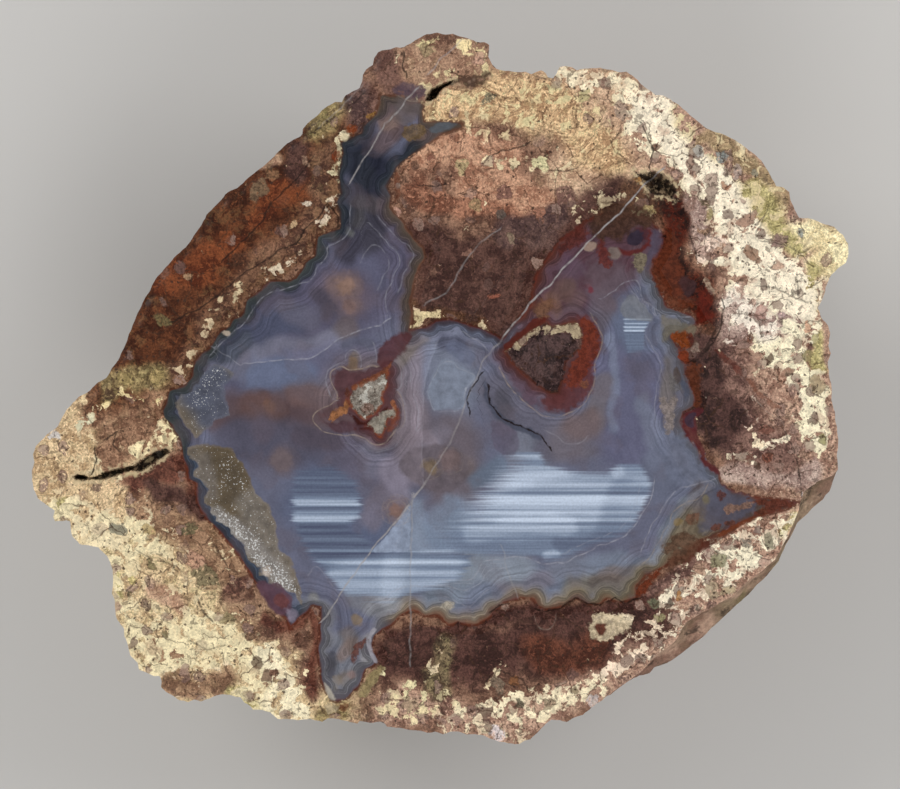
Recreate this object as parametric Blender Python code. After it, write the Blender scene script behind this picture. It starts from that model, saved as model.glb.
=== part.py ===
"""Half of an agate nodule, lying on its rounded back with its flat cut face up.

The nodule grew as one piece, so it is one closed solid. Its top is the flat cut face, with a vug,
a crevice and an open fissure sunk into it. A rough side swells past the cut edge at the lower
right, and below the face is a lumpy dome that ends in a small flat spot to rest on.
The frame has +Z up and its origin under the middle of the outline, at the resting spot's height.
"""

import math

import bmesh
import bpy
from mathutils import Vector, noise
from mathutils.geometry import delaunay_2d_cdt

# Driving dimensions, in metres
NODULE_WIDTH = 0.120            # the outline from its left knob to its right edge
DOME_DEPTH = 0.046              # cut face down to the resting spot
REST_SPOT_HALF_WIDTH = 0.0150   # the small flat spot under the nodule, an ellipse
REST_SPOT_HALF_HEIGHT = 0.0125
SWELL_DEPTH = 0.0050            # how far below the cut face the rough side is at its widest
VUG_DEPTH = 0.0026
CREVICE_DEPTH = 0.0030
FISSURE_DEPTH = 0.0016

# Shape of the dome
DOME_RINGS = 19                 # rings of points between the cut edge and the resting spot
RINGS_CROWD_UPWARD = 1.3        # 1 spaces the rings evenly, more draws them to the cut edge
DOME_SQUARENESS = 2.20          # 2 is an ellipse, more is steeper at the sides
OUTLINE_SMOOTHING_STEPS = 60    # the knobs of the outline fade out on the way down
KNOBS_FADE_BY = 0.45            # share of the way down at which they are gone

# Relief of the rind: its spacing and how far it stands in or out, in metres. Each size of lump
# is read from its own place in the noise.
LUMPS = (
    (0.030, 0.0040, Vector((11.0, -11.0, 5.5))),
    (0.011, 0.0016, Vector((37.0, -37.0, 18.5))),
    (0.006, 0.0009, Vector((71.0, -71.0, 35.5))),
)
WART_SPACING = 0.0140
WART_REACH = 0.0042
WART_LEVEL = 0.35               # share of a wart's reach that stands out, the rest is hollow
LEDGE_SPACING = 0.0085
LEDGE_REACH = 0.0014
LEDGE_WAVES = 1.6               # how many ledges high the waves of a ledge are
LEDGE_WAVE_SPACING = 0.030
LEDGE_WAVE_PLACE = Vector((5.0, 9.0, 2.0))
RELIEF_SINK = 0.0016            # the relief as a whole lies this much further in
RELIEF_STARTS_OVER = 0.008      # it grows from nothing at the cut edge over this depth
RELIEF_ENDS_OVER = 0.003        # and fades again over this height above the resting spot
KEPT_CLEAR_OF_FLOOR = 0.75      # a lump reaches down by no more than this share of its height
SHARP_ANGLE = math.radians(35.0)

# The outline, clockwise, as read off a picture of the cut face. A picture point has x to the
# right and y down, in pixels, and the nodule is 817 pixels wide there.
OUTLINE_WIDTH_PX = 817
OUTLINE_MIDDLE_PX = (440.5, 388.8)
PIXEL = NODULE_WIDTH / OUTLINE_WIDTH_PX
MILLIMETRE = 0.001
MERGE_MM = 0.00001              # points of the cut face that lie closer than this are one

# Places of the finishes among the nodule's materials
RIND, CUT_ROCK, AGATE = range(3)
FINISHES = (
    ("rind", (0.47, 0.38, 0.27), 0.90),
    ("cut_rock", (0.37, 0.21, 0.15), 0.35),
    ("agate", (0.20, 0.23, 0.31), 0.12),
)

LEFT_AND_TOP_PX = (
    (32, 480), (33, 462), (36, 446), (48, 434), (58, 426), (66, 410), (79, 397), (90, 390),
    (106, 378), (118, 360), (128, 337), (139, 310), (151, 288), (166, 267), (183, 250),
    (197, 231), (207, 215), (221, 200), (237, 188), (257, 171), (275, 156), (293, 140),
    (303, 129), (320, 113), (335, 102), (346, 95), (360, 88), (363, 75), (373, 65), (378, 52),
    (396, 47), (410, 44), (427, 34), (446, 35), (460, 37), (476, 42), (489, 45), (487, 54),
    (493, 67), (505, 71), (525, 72), (541, 70), (549, 78), (557, 73), (566, 66), (588, 68),
    (610, 70), (633, 76), (641, 84), (656, 95), (670, 99), (685, 110), (705, 128), (730, 137),
    (754, 154), (767, 169), (776, 186), (789, 192), (799, 218), (822, 223), (843, 235),
    (849, 254), (837, 269), (826, 287), (818, 308), (830, 333), (828, 361), (832, 389),
    (837, 430), (838, 457),
)
# Lower right: the widest line of the rough side, and the cut edge inside it, point for point
LOWER_RIGHT_SIDE_PX = (
    (836, 477), (833, 490), (825, 500), (812, 512), (799, 524), (788, 545), (780, 562),
    (768, 580), (750, 596), (735, 609), (719, 624), (702, 640), (684, 654), (665, 667),
    (643, 682), (611, 699), (590, 713),
)
LOWER_RIGHT_EDGE_PX = (
    (832, 476), (817, 482), (804, 492), (800, 505), (795, 520), (784, 544), (776, 559),
    (764, 570), (748, 581), (732, 596), (709, 609), (687, 621), (676, 640), (658, 654),
    (640, 673), (607, 696), (587, 711),
)
BOTTOM_PX = (
    (575, 717), (558, 720), (547, 723), (530, 738), (515, 744), (500, 742), (484, 736),
    (460, 732), (443, 734), (420, 730), (400, 728), (386, 726), (370, 722), (353, 723),
    (330, 719), (310, 719), (287, 719), (270, 712), (254, 709), (240, 698), (223, 694),
    (209, 698), (188, 702), (172, 695), (162, 687), (160, 676), (139, 670), (130, 655),
    (125, 636), (115, 616), (112, 593), (112, 573), (100, 549), (80, 544), (72, 524),
    (55, 521), (50, 507), (35, 493),
)

# The border of the agate that fills the hollow of the rock, clockwise
AGATE_BORDER_PX = (
    (337, 180), (341, 160), (341, 141), (361, 133), (376, 114), (380, 95), (399, 94),
    (409, 103), (427, 104), (424, 121), (463, 125), (441, 135), (411, 156), (396, 169),
    (387, 184), (391, 204), (413, 238), (425, 258), (416, 275), (410, 301), (411, 330),
    (436, 321), (467, 324), (502, 338), (530, 304), (541, 268), (559, 241), (585, 221),
    (610, 213), (648, 216), (662, 244), (657, 284), (680, 309), (697, 324), (673, 337),
    (685, 370), (696, 400), (682, 416), (699, 448), (719, 473), (733, 491), (760, 497),
    (786, 503), (769, 514), (735, 526), (699, 540), (688, 556), (667, 565), (645, 577),
    (636, 597), (608, 600), (576, 599), (556, 609), (530, 599), (502, 605), (484, 620),
    (456, 624), (430, 614), (409, 612), (375, 636), (377, 658), (362, 682), (336, 701),
    (323, 686), (318, 648), (321, 607), (306, 616), (290, 631), (264, 593), (241, 559),
    (208, 521), (196, 487), (183, 456), (164, 418), (168, 394), (191, 377), (210, 347),
    (229, 326), (246, 300), (270, 282), (296, 278), (316, 250), (319, 235), (340, 228),
    (337, 200),
)

# Hollows of the cut face: the rim, then the points or line at the bottom
VUG_RIM_PX = (
    (634, 171), (643, 174), (653, 170), (664, 174), (672, 182), (678, 191), (673, 200),
    (664, 196), (651, 195), (645, 186),
)
VUG_FLOOR_PX = ((648, 180), (657, 178), (668, 186), (669, 192), (654, 188))
CREVICE_RIM_PX = (
    (427, 99), (430, 89), (438, 83), (452, 79), (464, 73), (474, 72), (483, 75), (491, 71),
    (484, 80), (474, 77), (464, 79), (453, 84), (441, 89), (434, 96),
)
CREVICE_LINE_PX = ((431, 95), (438, 87), (452, 81.5), (464, 76), (474, 74.5), (484, 77.5))
FISSURE_RIM_PX = (
    (73, 476), (85, 475), (95, 477), (105, 472), (120, 468), (140, 465), (150, 460),
    (160, 453), (173, 437), (169, 450), (160, 460), (150, 466), (140, 471), (120, 475),
    (105, 479), (95, 485), (85, 483),
)
FISSURE_LINE_PX = (
    (85, 479), (95, 481), (105, 475.5), (120, 471.5), (140, 468), (150, 463), (160, 456.5),
    (168, 448),
)


def clear_scene():
    """Remove the objects of the scene that the script opens in."""
    for old in list(bpy.data.objects):
        bpy.data.objects.remove(old, do_unlink=True)


def stone_material(name, color, roughness):
    """A plain stone finish."""
    material = bpy.data.materials.new(name)
    material.use_nodes = True
    shader = material.node_tree.nodes["Principled BSDF"]
    shader.inputs["Base Color"].default_value = (*color, 1.0)
    shader.inputs["Roughness"].default_value = roughness
    shader.inputs["Metallic"].default_value = 0.0
    material.diffuse_color = (*color, 1.0)
    return material


def in_metres(points_px):
    """Picture points as places on the cut face, from the middle of the outline."""
    middle_x, middle_y = OUTLINE_MIDDLE_PX
    return [Vector(((x - middle_x) * PIXEL, (middle_y - y) * PIXEL)) for x, y in points_px]


def smooth_step(value):
    """Ease from 0 to 1 as value goes from 0 to 1."""
    share = min(max(value, 0.0), 1.0)
    return share * share * (3.0 - 2.0 * share)


def smoothed_loop(points, steps):
    """A closed line of points with its corners worn down, grown back to its own size."""
    smooth = [point.copy() for point in points]
    for _ in range(steps):
        smooth = [
            point * 0.5 + (smooth[index - 1] + smooth[(index + 1) % len(smooth)]) * 0.25
            for index, point in enumerate(smooth)
        ]
    mean_before = sum(point.length for point in points) / len(points)
    mean_after = sum(point.length for point in smooth) / len(smooth)
    return [point * (mean_before / mean_after) for point in smooth]


def area_middle(points):
    """The middle of the area inside a closed line of points."""
    area = 0.0
    middle = Vector((0.0, 0.0))
    for before, after in zip(points, points[1:] + points[:1]):
        cross = before.x * after.y - after.x * before.y
        area += cross / 2.0
        middle += (before + after) * cross / 6.0
    return middle / area


def relief(place):
    """How far the rind stands out or in at a place, from its lumps, warts and ledges."""
    height = -RELIEF_SINK
    for spacing, reach, noise_place in LUMPS:
        height += reach * noise.noise(place / spacing + noise_place)
    nearest_wart = noise.voronoi(place / WART_SPACING)[0][0]
    height += WART_REACH * (WART_LEVEL - min(nearest_wart, 1.0) ** 2)
    wave = LEDGE_WAVES * noise.noise(place / LEDGE_WAVE_SPACING + LEDGE_WAVE_PLACE)
    ledge = (place.z / LEDGE_SPACING + wave) % 1.0
    return height + LEDGE_REACH * (0.5 - ledge)


def kept_inside(place, wide_point, middle):
    """The place, drawn in where it would reach past the widest outline."""
    limit = (wide_point - middle).length
    from_middle = place.to_2d() - middle
    share = min(1.0, limit / from_middle.length)
    inside = middle + from_middle * share
    return Vector((inside.x, inside.y, place.z))


def dome_ring(level, cut_edge, widest, soft, spot, spot_middle):
    """The ring of points at one level: 0 is the cut edge, 1 is the rim of the resting spot."""
    angle = level * math.pi / 2
    reach = math.cos(angle) ** (2 / DOME_SQUARENESS) if level < 1.0 else 0.0
    depth = DOME_DEPTH * math.sin(angle) ** (2 / DOME_SQUARENESS)
    swell = smooth_step(depth / SWELL_DEPTH)
    worn = smooth_step(level / KNOBS_FADE_BY)
    height = DOME_DEPTH - depth
    lumpy = smooth_step(depth / RELIEF_STARTS_OVER) * smooth_step(height / RELIEF_ENDS_OVER)
    ring = []
    for edge_point, wide_point, soft_point, spot_point in zip(cut_edge, widest, soft, spot):
        outline_point = edge_point.lerp(wide_point, swell).lerp(soft_point, worn)
        place = spot_point.lerp(outline_point, reach).to_3d()
        place.z = height
        outward = (soft_point - spot_middle).normalized().to_3d() * math.cos(angle)
        outward.z = -math.sin(angle)
        place += outward * min(relief(place) * lumpy, height * KEPT_CLEAR_OF_FLOOR)
        ring.append(kept_inside(place, wide_point, spot_middle))
    return ring


def dome_rings(cut_edge, widest):
    """All rings of the dome, from the cut edge down to the resting spot, and the spot's middle."""
    soft = smoothed_loop(widest, OUTLINE_SMOOTHING_STEPS)
    middle = area_middle(soft)
    spot = []
    for point in soft:
        from_middle = point - middle
        turn = math.atan2(
            from_middle.y / REST_SPOT_HALF_HEIGHT, from_middle.x / REST_SPOT_HALF_WIDTH)
        spot.append(middle + Vector((
            REST_SPOT_HALF_WIDTH * math.cos(turn),
            REST_SPOT_HALF_HEIGHT * math.sin(turn),
        )))
    steps = DOME_RINGS + 1
    levels = [(step / steps) ** RINGS_CROWD_UPWARD for step in range(steps + 1)]
    rings = [dome_ring(level, cut_edge, widest, soft, spot, middle) for level in levels]
    return rings, middle


def add_side(mesh, rings, middle):
    """Join the rings with faces, close the bottom, and give back the points of the cut edge."""
    rows = [[mesh.verts.new(place) for place in ring] for ring in rings]
    for upper, lower in zip(rows, rows[1:]):
        for index, vert in enumerate(upper):
            after = (index + 1) % len(upper)
            mesh.faces.new((vert, upper[after], lower[after], lower[index]))
    spot_middle = mesh.verts.new(middle.to_3d())
    spot_rim = rows[-1]
    for index, vert in enumerate(spot_rim):
        mesh.faces.new((vert, spot_rim[(index + 1) % len(spot_rim)], spot_middle))
    return rows[0]


def add_cut_face(mesh, edge_verts, hollows):
    """Fill the cut edge with a flat face that holds the agate's border and the sunk hollows."""
    points = [vert.co.to_2d() for vert in edge_verts]
    drops = [0.0] * len(points)
    lines = []

    def add_points(places, drop):
        first = len(points)
        points.extend(places)
        drops.extend([drop] * len(places))
        return list(range(first, len(points)))

    outline_loop = list(range(len(points)))
    agate_loop = add_points(in_metres(AGATE_BORDER_PX), 0.0)
    for rim_px, floor_px, depth in hollows:
        rim = add_points(in_metres(rim_px), 0.0)
        floor = add_points(in_metres(floor_px), depth)
        lines.extend(zip(rim, rim[1:] + rim[:1]))
        lines.extend(zip(floor, floor[1:]))

    # The outline and the agate's border are loops 0 and 1 of the filling, anticlockwise
    loops = [outline_loop[::-1], agate_loop[::-1]]
    points_mm = [point / MILLIMETRE for point in points]
    filled = delaunay_2d_cdt(points_mm, lines, loops, 1, MERGE_MM)
    spots_mm, _, triangles, old_points, _, old_loops = filled

    verts = []
    for spot_mm, sources in zip(spots_mm, old_points):
        edge_sources = [source for source in sources if source < len(edge_verts)]
        if edge_sources:
            verts.append(edge_verts[edge_sources[0]])
            continue
        place = (spot_mm * MILLIMETRE).to_3d()
        place.z = DOME_DEPTH - max([drops[source] for source in sources], default=0.0)
        verts.append(mesh.verts.new(place))
    for triangle, inside_loops in zip(triangles, old_loops):
        face = mesh.faces.new([verts[corner] for corner in triangle])
        face.material_index = AGATE if 1 in inside_loops else CUT_ROCK


def build_nodule():
    """The whole nodule as one closed solid with rind, cut rock and agate finishes."""
    cut_edge = in_metres(LEFT_AND_TOP_PX + LOWER_RIGHT_EDGE_PX + BOTTOM_PX)
    widest = in_metres(LEFT_AND_TOP_PX + LOWER_RIGHT_SIDE_PX + BOTTOM_PX)
    hollows = (
        (VUG_RIM_PX, VUG_FLOOR_PX, VUG_DEPTH),
        (CREVICE_RIM_PX, CREVICE_LINE_PX, CREVICE_DEPTH),
        (FISSURE_RIM_PX, FISSURE_LINE_PX, FISSURE_DEPTH),
    )
    shape = bmesh.new()
    rings, middle = dome_rings(cut_edge, widest)
    edge_verts = add_side(shape, rings, middle)
    add_cut_face(shape, edge_verts, hollows)
    bmesh.ops.recalc_face_normals(shape, faces=shape.faces)

    data = bpy.data.meshes.new("agate_nodule")
    shape.to_mesh(data)
    shape.free()
    data.shade_smooth()
    data.set_sharp_from_angle(angle=SHARP_ANGLE)
    for name, color, roughness in FINISHES:
        data.materials.append(stone_material(name, color, roughness))
    nodule = bpy.data.objects.new("agate_nodule", data)
    bpy.context.scene.collection.objects.link(nodule)
    return nodule


clear_scene()
build_nodule()
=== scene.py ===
"""Looks of the agate nodule: a cut and polished face over a rough, lumpy back.

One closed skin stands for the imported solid. Its cut face carries the rock shell, the banded agate
that fills the hollow of the rock, and every fine line as colour. Picture points have x to the
right and y down, in pixels, and the nodule is 817 pixels wide there.
"""

import math
import random
from collections import namedtuple

import bpy
import numpy as np
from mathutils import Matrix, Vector, kdtree, noise
from mathutils.geometry import delaunay_2d_cdt


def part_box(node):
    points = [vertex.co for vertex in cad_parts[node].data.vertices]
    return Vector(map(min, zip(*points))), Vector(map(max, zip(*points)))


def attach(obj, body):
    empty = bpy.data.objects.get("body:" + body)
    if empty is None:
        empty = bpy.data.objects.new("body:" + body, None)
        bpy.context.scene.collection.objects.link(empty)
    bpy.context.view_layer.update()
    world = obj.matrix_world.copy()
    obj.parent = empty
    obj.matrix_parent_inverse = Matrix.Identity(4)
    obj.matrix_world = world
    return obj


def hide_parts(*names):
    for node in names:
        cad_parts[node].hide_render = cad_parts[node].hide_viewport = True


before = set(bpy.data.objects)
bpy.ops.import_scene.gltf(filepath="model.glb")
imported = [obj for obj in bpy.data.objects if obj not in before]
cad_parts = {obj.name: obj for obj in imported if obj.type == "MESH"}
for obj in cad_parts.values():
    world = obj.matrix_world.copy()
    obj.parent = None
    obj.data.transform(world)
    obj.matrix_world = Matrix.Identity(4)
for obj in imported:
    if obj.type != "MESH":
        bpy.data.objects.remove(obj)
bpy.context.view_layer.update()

# The vector noise starts from the clock unless its seed is set
NOISE_SEED = 5
noise.seed_set(NOISE_SEED)

NODE = "agate_nodule"
MILLIMETRE = 0.001

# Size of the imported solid, and the scale of the picture points
box_low, box_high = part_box(NODE)
NODULE_WIDTH = box_high.x - box_low.x
DOME_DEPTH = box_high.z - box_low.z
OUTLINE_WIDTH_PX = 817
OUTLINE_MIDDLE_PX = (440.5, 388.8)
PIXEL = NODULE_WIDTH / OUTLINE_WIDTH_PX

# Shape of the dome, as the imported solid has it
REST_SPOT_HALF_WIDTH = 0.0150
REST_SPOT_HALF_HEIGHT = 0.0125
SWELL_DEPTH = 0.0050
DOME_RINGS = 45
RINGS_CROWD_UPWARD = 1.35
DOME_SQUARENESS = 2.20
OUTLINE_SMOOTHING_SPREAD = 0.0438   # as a share of the way round
KNOBS_FADE_BY = 0.45
LUMPS = (
    (0.030, 0.0040, Vector((11.0, -11.0, 5.5))),
    (0.011, 0.0016, Vector((37.0, -37.0, 18.5))),
    (0.006, 0.0009, Vector((71.0, -71.0, 35.5))),
)
WART_SPACING = 0.0140
WART_REACH = 0.0042
WART_LEVEL = 0.35
LEDGE_SPACING = 0.0085
LEDGE_REACH = 0.0014
LEDGE_WAVES = 1.6
LEDGE_WAVE_SPACING = 0.030
LEDGE_WAVE_PLACE = Vector((5.0, 9.0, 2.0))
RELIEF_SINK = 0.0016
RELIEF_STARTS_OVER = 0.008
RELIEF_ENDS_OVER = 0.003
KEPT_CLEAR_OF_FLOOR = 0.75
CRUMBS = (
    (0.0026, 0.00045, Vector((3.0, 8.0, 21.0))),
    (0.0012, 0.00022, Vector((15.0, 2.0, 7.0))),
)
CRUMBS_START_OVER = 0.0008

# Depths of what is sunk into the cut face
VUG_DEPTH = 0.0026
CREVICE_DEPTH = 0.0030
FISSURE_DEPTH = 0.0016
WORN_RIM_DROP = 0.0004
WORN_RIM_PX = 9.0
CHIP_SPACING_PX = 9.0
CHIP_PLACE = 2.0
CHIP_LEVEL = 0.5
CHIP_CONTRAST = 1.6

# Scallops of the agate's bands: how far apart they start along the rock, how strong they are,
# and how far from the rock they reach full strength
SCALLOP_SEED = 11
SCALLOP_STEPS_PX = (12.0, 32.0)
SCALLOP_SHARE = 0.85
SCALLOP_START_PX = 6.0

# How finely the skin is divided
EDGE_STEP_PX = 3.3
FACE_STEP_PX = 2.86
FACE_CLEAR_OF_EDGE_PX = 1.9
FINE_STEP_PX = 1.3
FINE_MARGIN_PX = 5.0
EDGE_RAGGEDNESS_PX = 0.9
EDGE_RAGS_SPACING_PX = 6.0
EDGE_RAGS_PLACE = 4.0
MERGE_MM = 0.00001
SHARP_ANGLE = math.radians(50.0)

# Unfolding of the skin: the cut face above, the dome as a strip below it
FACE_UV_LEFT = 0.008
FACE_UV_BOTTOM = 0.277
FACE_UV_PER_PX = 0.825 / OUTLINE_WIDTH_PX
DOME_UV_TOP = 0.264
DOME_UV_BOTTOM = 0.006
DOME_UV_LEFT = 0.006
DOME_UV_WIDTH = 0.988
SPOT_UV_MIDDLE = (0.92, 0.60)
SPOT_UV_PER_METRE = 3.5

# How the edge's rock colours run together down the side
SIDE_BLURS = 2
SIDE_STEPS = range(-14, 15)

# How painted shapes wander, so that they look grown: reach and spacing in pixels, and where in
# the noise, for each time that they are moved about
ROCK_WANDERS = ((12.0, 40.0, 1.0), (6.0, 12.0, 5.0))
STROKE_WANDERS = ((9.0, 40.0, 3.0), (3.0, 11.0, 7.0))
FLOW_WANDERS = ((20.0, 30.0, 21.0), (5.0, 9.0, 22.0))
SPOT_WANDERS = ((4.0, 9.0, 9.0),)
PANE_WANDERS = ((2.0, 9.0, 15.0),)
LINE_WANDERS = ((1.6, 9.0, 12.0),)

# How softly the painted shapes end, and how the listed fragments are cut
STROKE_SOFT_SHARE = 0.6
SPOT_TURN = (0.37, 0.91)
SPOT_SLIMNESS = 1.3
SPOT_CORNER_SHARE = 0.78
SPOT_DEPTH_LIMIT = -30.0
PANE_DEPTH_LIMIT = 2.0
PANE_REACH_PX = 3.0
CORNER_CUTS_PX = (4.0, 2.0)
CORNER_SHARE_LIMIT = 0.25
SHORTEST_PX = 0.001
LINE_END_FADE_PX = 3.0
PLANE_END_FADE_PX = 4.0
RIGHT_LEVELS_STEEPNESS = 4.0
WALL_ZONE_SOFT_PX = 4.0
WALL_ZONE_POWER = -5.0
RING_SIDES = 20

# The skin's finishes, in the order of its material slots, and how far to both sides of their
# border rock and agate share one
RIND, CUT_ROCK, AGATE, BORDER = range(4)
BORDER_REACH_PX = 9.0
FAR_OUTSIDE_PX = -99.0

# How strongly the finest grain of the rock shows, and how a shader's ramps are cut up
GRAIN_CONTRAST = 1.8
RAMP_STOPS = 30
RAMP_JOIN_PX = 0.1

# The picture is 900 by 789 pixels, taken from far above
PICTURE_PX = (900, 789)
LENS = 200.0
SENSOR = 36.0
FLOOR_HALF_WIDTH = 3.0
SKY_STRENGTH = 0.60
SKY_DARK_PATCH = (0.86, 0.95)   # where it starts and is full, as the height of a direction
LAMPS = (
    (Vector((-0.55, 0.45, 0.62)), 0.50, 2.75),
    (Vector((0.60, 0.30, 0.62)), 0.50, 2.2),
    (Vector((0.05, -0.70, 0.62)), 0.50, 1.75),
)

# Plain colours that the shaders lay down, as display values from 0 to 255
TONES = {
    "green_stain": (172, 162, 112),
    "dark_fragment": (98, 72, 66),
    "pale_fragment": (164, 136, 122),
    "fragment_outline": (84, 54, 40),
    "patch_brink": (104, 66, 44),
    "spot_outline": (80, 54, 42),
    "speck": (58, 40, 32),
    "rock_crack": (66, 44, 32),
    "dark_level": (78, 84, 106),
    "middle_level": (124, 138, 160),
    "white_level": (204, 217, 236),
    "warm_cloud": (100, 88, 94),
    "quartz_glint": (222, 222, 220),
    "hollow_lip": (204, 184, 146),
    "hollow_shadow": (24, 17, 14),
    "hollow_rock": (92, 70, 54),
    "hollow_chip": (170, 146, 116),
    "pale_line": (160, 160, 170),
    "pale_two_line": (156, 156, 166),
    "ring_line": (160, 144, 130),
    "healed_line": (162, 157, 156),
    "dark_line": (30, 20, 16),
    "weathered_and_shade": (108, 92, 68),
    "dark_grain": (84, 64, 52),
    "pale_grain": (176, 156, 124),
    "crag": (50, 38, 30),
    "green_rind": (140, 138, 84),
    "floor": (205, 203, 200),
}

# The outline of the cut face, clockwise from the left knob
LEFT_AND_TOP_PX = (
    (32, 480), (32, 470), (34, 462), (33, 454), (36, 446), (42, 440), (48, 434), (53, 430),
    (58, 426), (62, 418), (66, 410), (73, 403), (79, 397), (84, 394), (90, 390), (98, 383),
    (106, 378), (112, 369), (118, 360), (124, 348), (128, 337), (134, 322), (139, 310), (146, 297),
    (151, 288), (157, 277), (166, 267), (174, 258), (183, 250), (190, 242), (197, 231), (203, 222),
    (207, 215), (213, 208), (221, 200), (228, 192), (237, 188), (243, 183), (248, 178), (257, 171),
    (268, 162), (275, 156), (283, 147), (293, 140), (302, 135), (303, 129), (310, 121), (320, 113),
    (327, 106), (335, 102), (341, 102), (346, 95), (352, 92), (360, 88), (362, 82), (363, 75),
    (366, 69), (373, 65), (374, 58), (378, 52), (382, 50), (390, 49), (396, 47), (402, 48),
    (410, 44), (418, 39), (427, 34), (437, 33), (446, 35), (453, 34), (460, 37), (468, 38),
    (476, 42), (484, 42), (489, 45), (489, 49), (487, 53), (490, 60), (493, 67), (497, 69),
    (505, 71), (515, 72), (525, 72), (532, 74), (537, 72), (541, 70), (546, 73), (549, 78),
    (553, 78), (557, 73), (560, 67), (566, 66), (572, 67), (577, 70), (588, 68), (600, 68),
    (610, 70), (620, 72), (627, 72), (633, 76), (638, 80), (641, 84), (648, 89), (656, 95),
    (663, 95), (670, 99), (678, 105), (685, 110), (692, 117), (699, 123), (705, 128), (712, 131),
    (720, 133), (730, 137), (738, 142), (746, 148), (754, 154), (761, 160), (767, 169), (774, 182),
    (776, 186), (784, 187), (789, 192), (792, 203), (799, 218), (808, 218), (822, 223), (834, 227),
    (843, 235), (848, 244), (849, 254), (846, 263), (837, 269), (830, 277), (826, 287), (823, 298),
    (818, 308), (821, 317), (828, 326), (830, 333), (829, 346), (831, 353), (828, 361), (829, 374),
    (832, 389), (831, 400), (835, 412), (837, 430), (838, 442), (837, 457), (838, 469),
)
# Lower right: the widest line of the rough side, and the cut edge inside it, point for point
LOWER_RIGHT_SIDE_PX = (
    (836, 477), (833, 490), (825, 500), (812, 512), (799, 524), (788, 545), (780, 562), (768, 580),
    (750, 596), (735, 609), (719, 624), (702, 640), (684, 654), (665, 667), (643, 682), (611, 699),
    (590, 713),
)
LOWER_RIGHT_EDGE_PX = (
    (832, 476), (817, 482), (804, 492), (800, 505), (795, 520), (784, 544), (776, 559), (764, 570),
    (748, 581), (732, 596), (709, 609), (687, 621), (676, 640), (658, 654), (640, 673), (607, 696),
    (587, 711),
)
BOTTOM_PX = (
    (583, 715), (575, 717.5), (567, 722), (560, 720.5), (551, 719.5), (546, 723.5), (540, 729.5),
    (535, 734.7), (530, 739), (524, 741), (520, 743.7), (515, 744.5), (508, 743), (500, 742),
    (492, 739), (484, 736), (475, 734), (467, 734.5), (458, 731.5), (450, 732), (443, 734.7),
    (435, 731.5), (427, 733), (420, 730.5), (408, 729.5), (400, 728), (387, 727), (383, 721),
    (370, 723), (360, 721), (357, 724), (350, 722), (345, 720.5), (340, 719), (328, 718.5),
    (322, 721.7), (310, 718.5), (297, 720.5), (290, 719), (278, 718.5), (270, 712), (262, 710),
    (254, 709.7), (250, 706), (244, 702), (240, 697.5), (232, 695.5), (223, 694.3), (216, 695.8),
    (209, 698.5), (201, 701.5), (194, 699.5), (188, 702), (180, 700.5), (172, 695.5), (166, 691.5),
    (161.5, 687), (162, 681), (160, 676), (154, 676), (147, 672.7), (139, 670), (138, 662.5),
    (134, 659), (130, 655.5), (128, 645), (125, 636.5), (124.5, 629), (121, 624.5), (117, 619),
    (115, 611), (115, 602.5), (112.5, 593.5), (112.5, 581), (113, 570), (110, 561.5), (107, 556),
    (103, 552), (98, 547), (80, 544), (72, 536), (71, 524), (69, 519), (62, 521), (55, 521),
    (53, 517), (55, 511), (50, 507), (44, 503), (38, 498), (34, 490),
)

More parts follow.
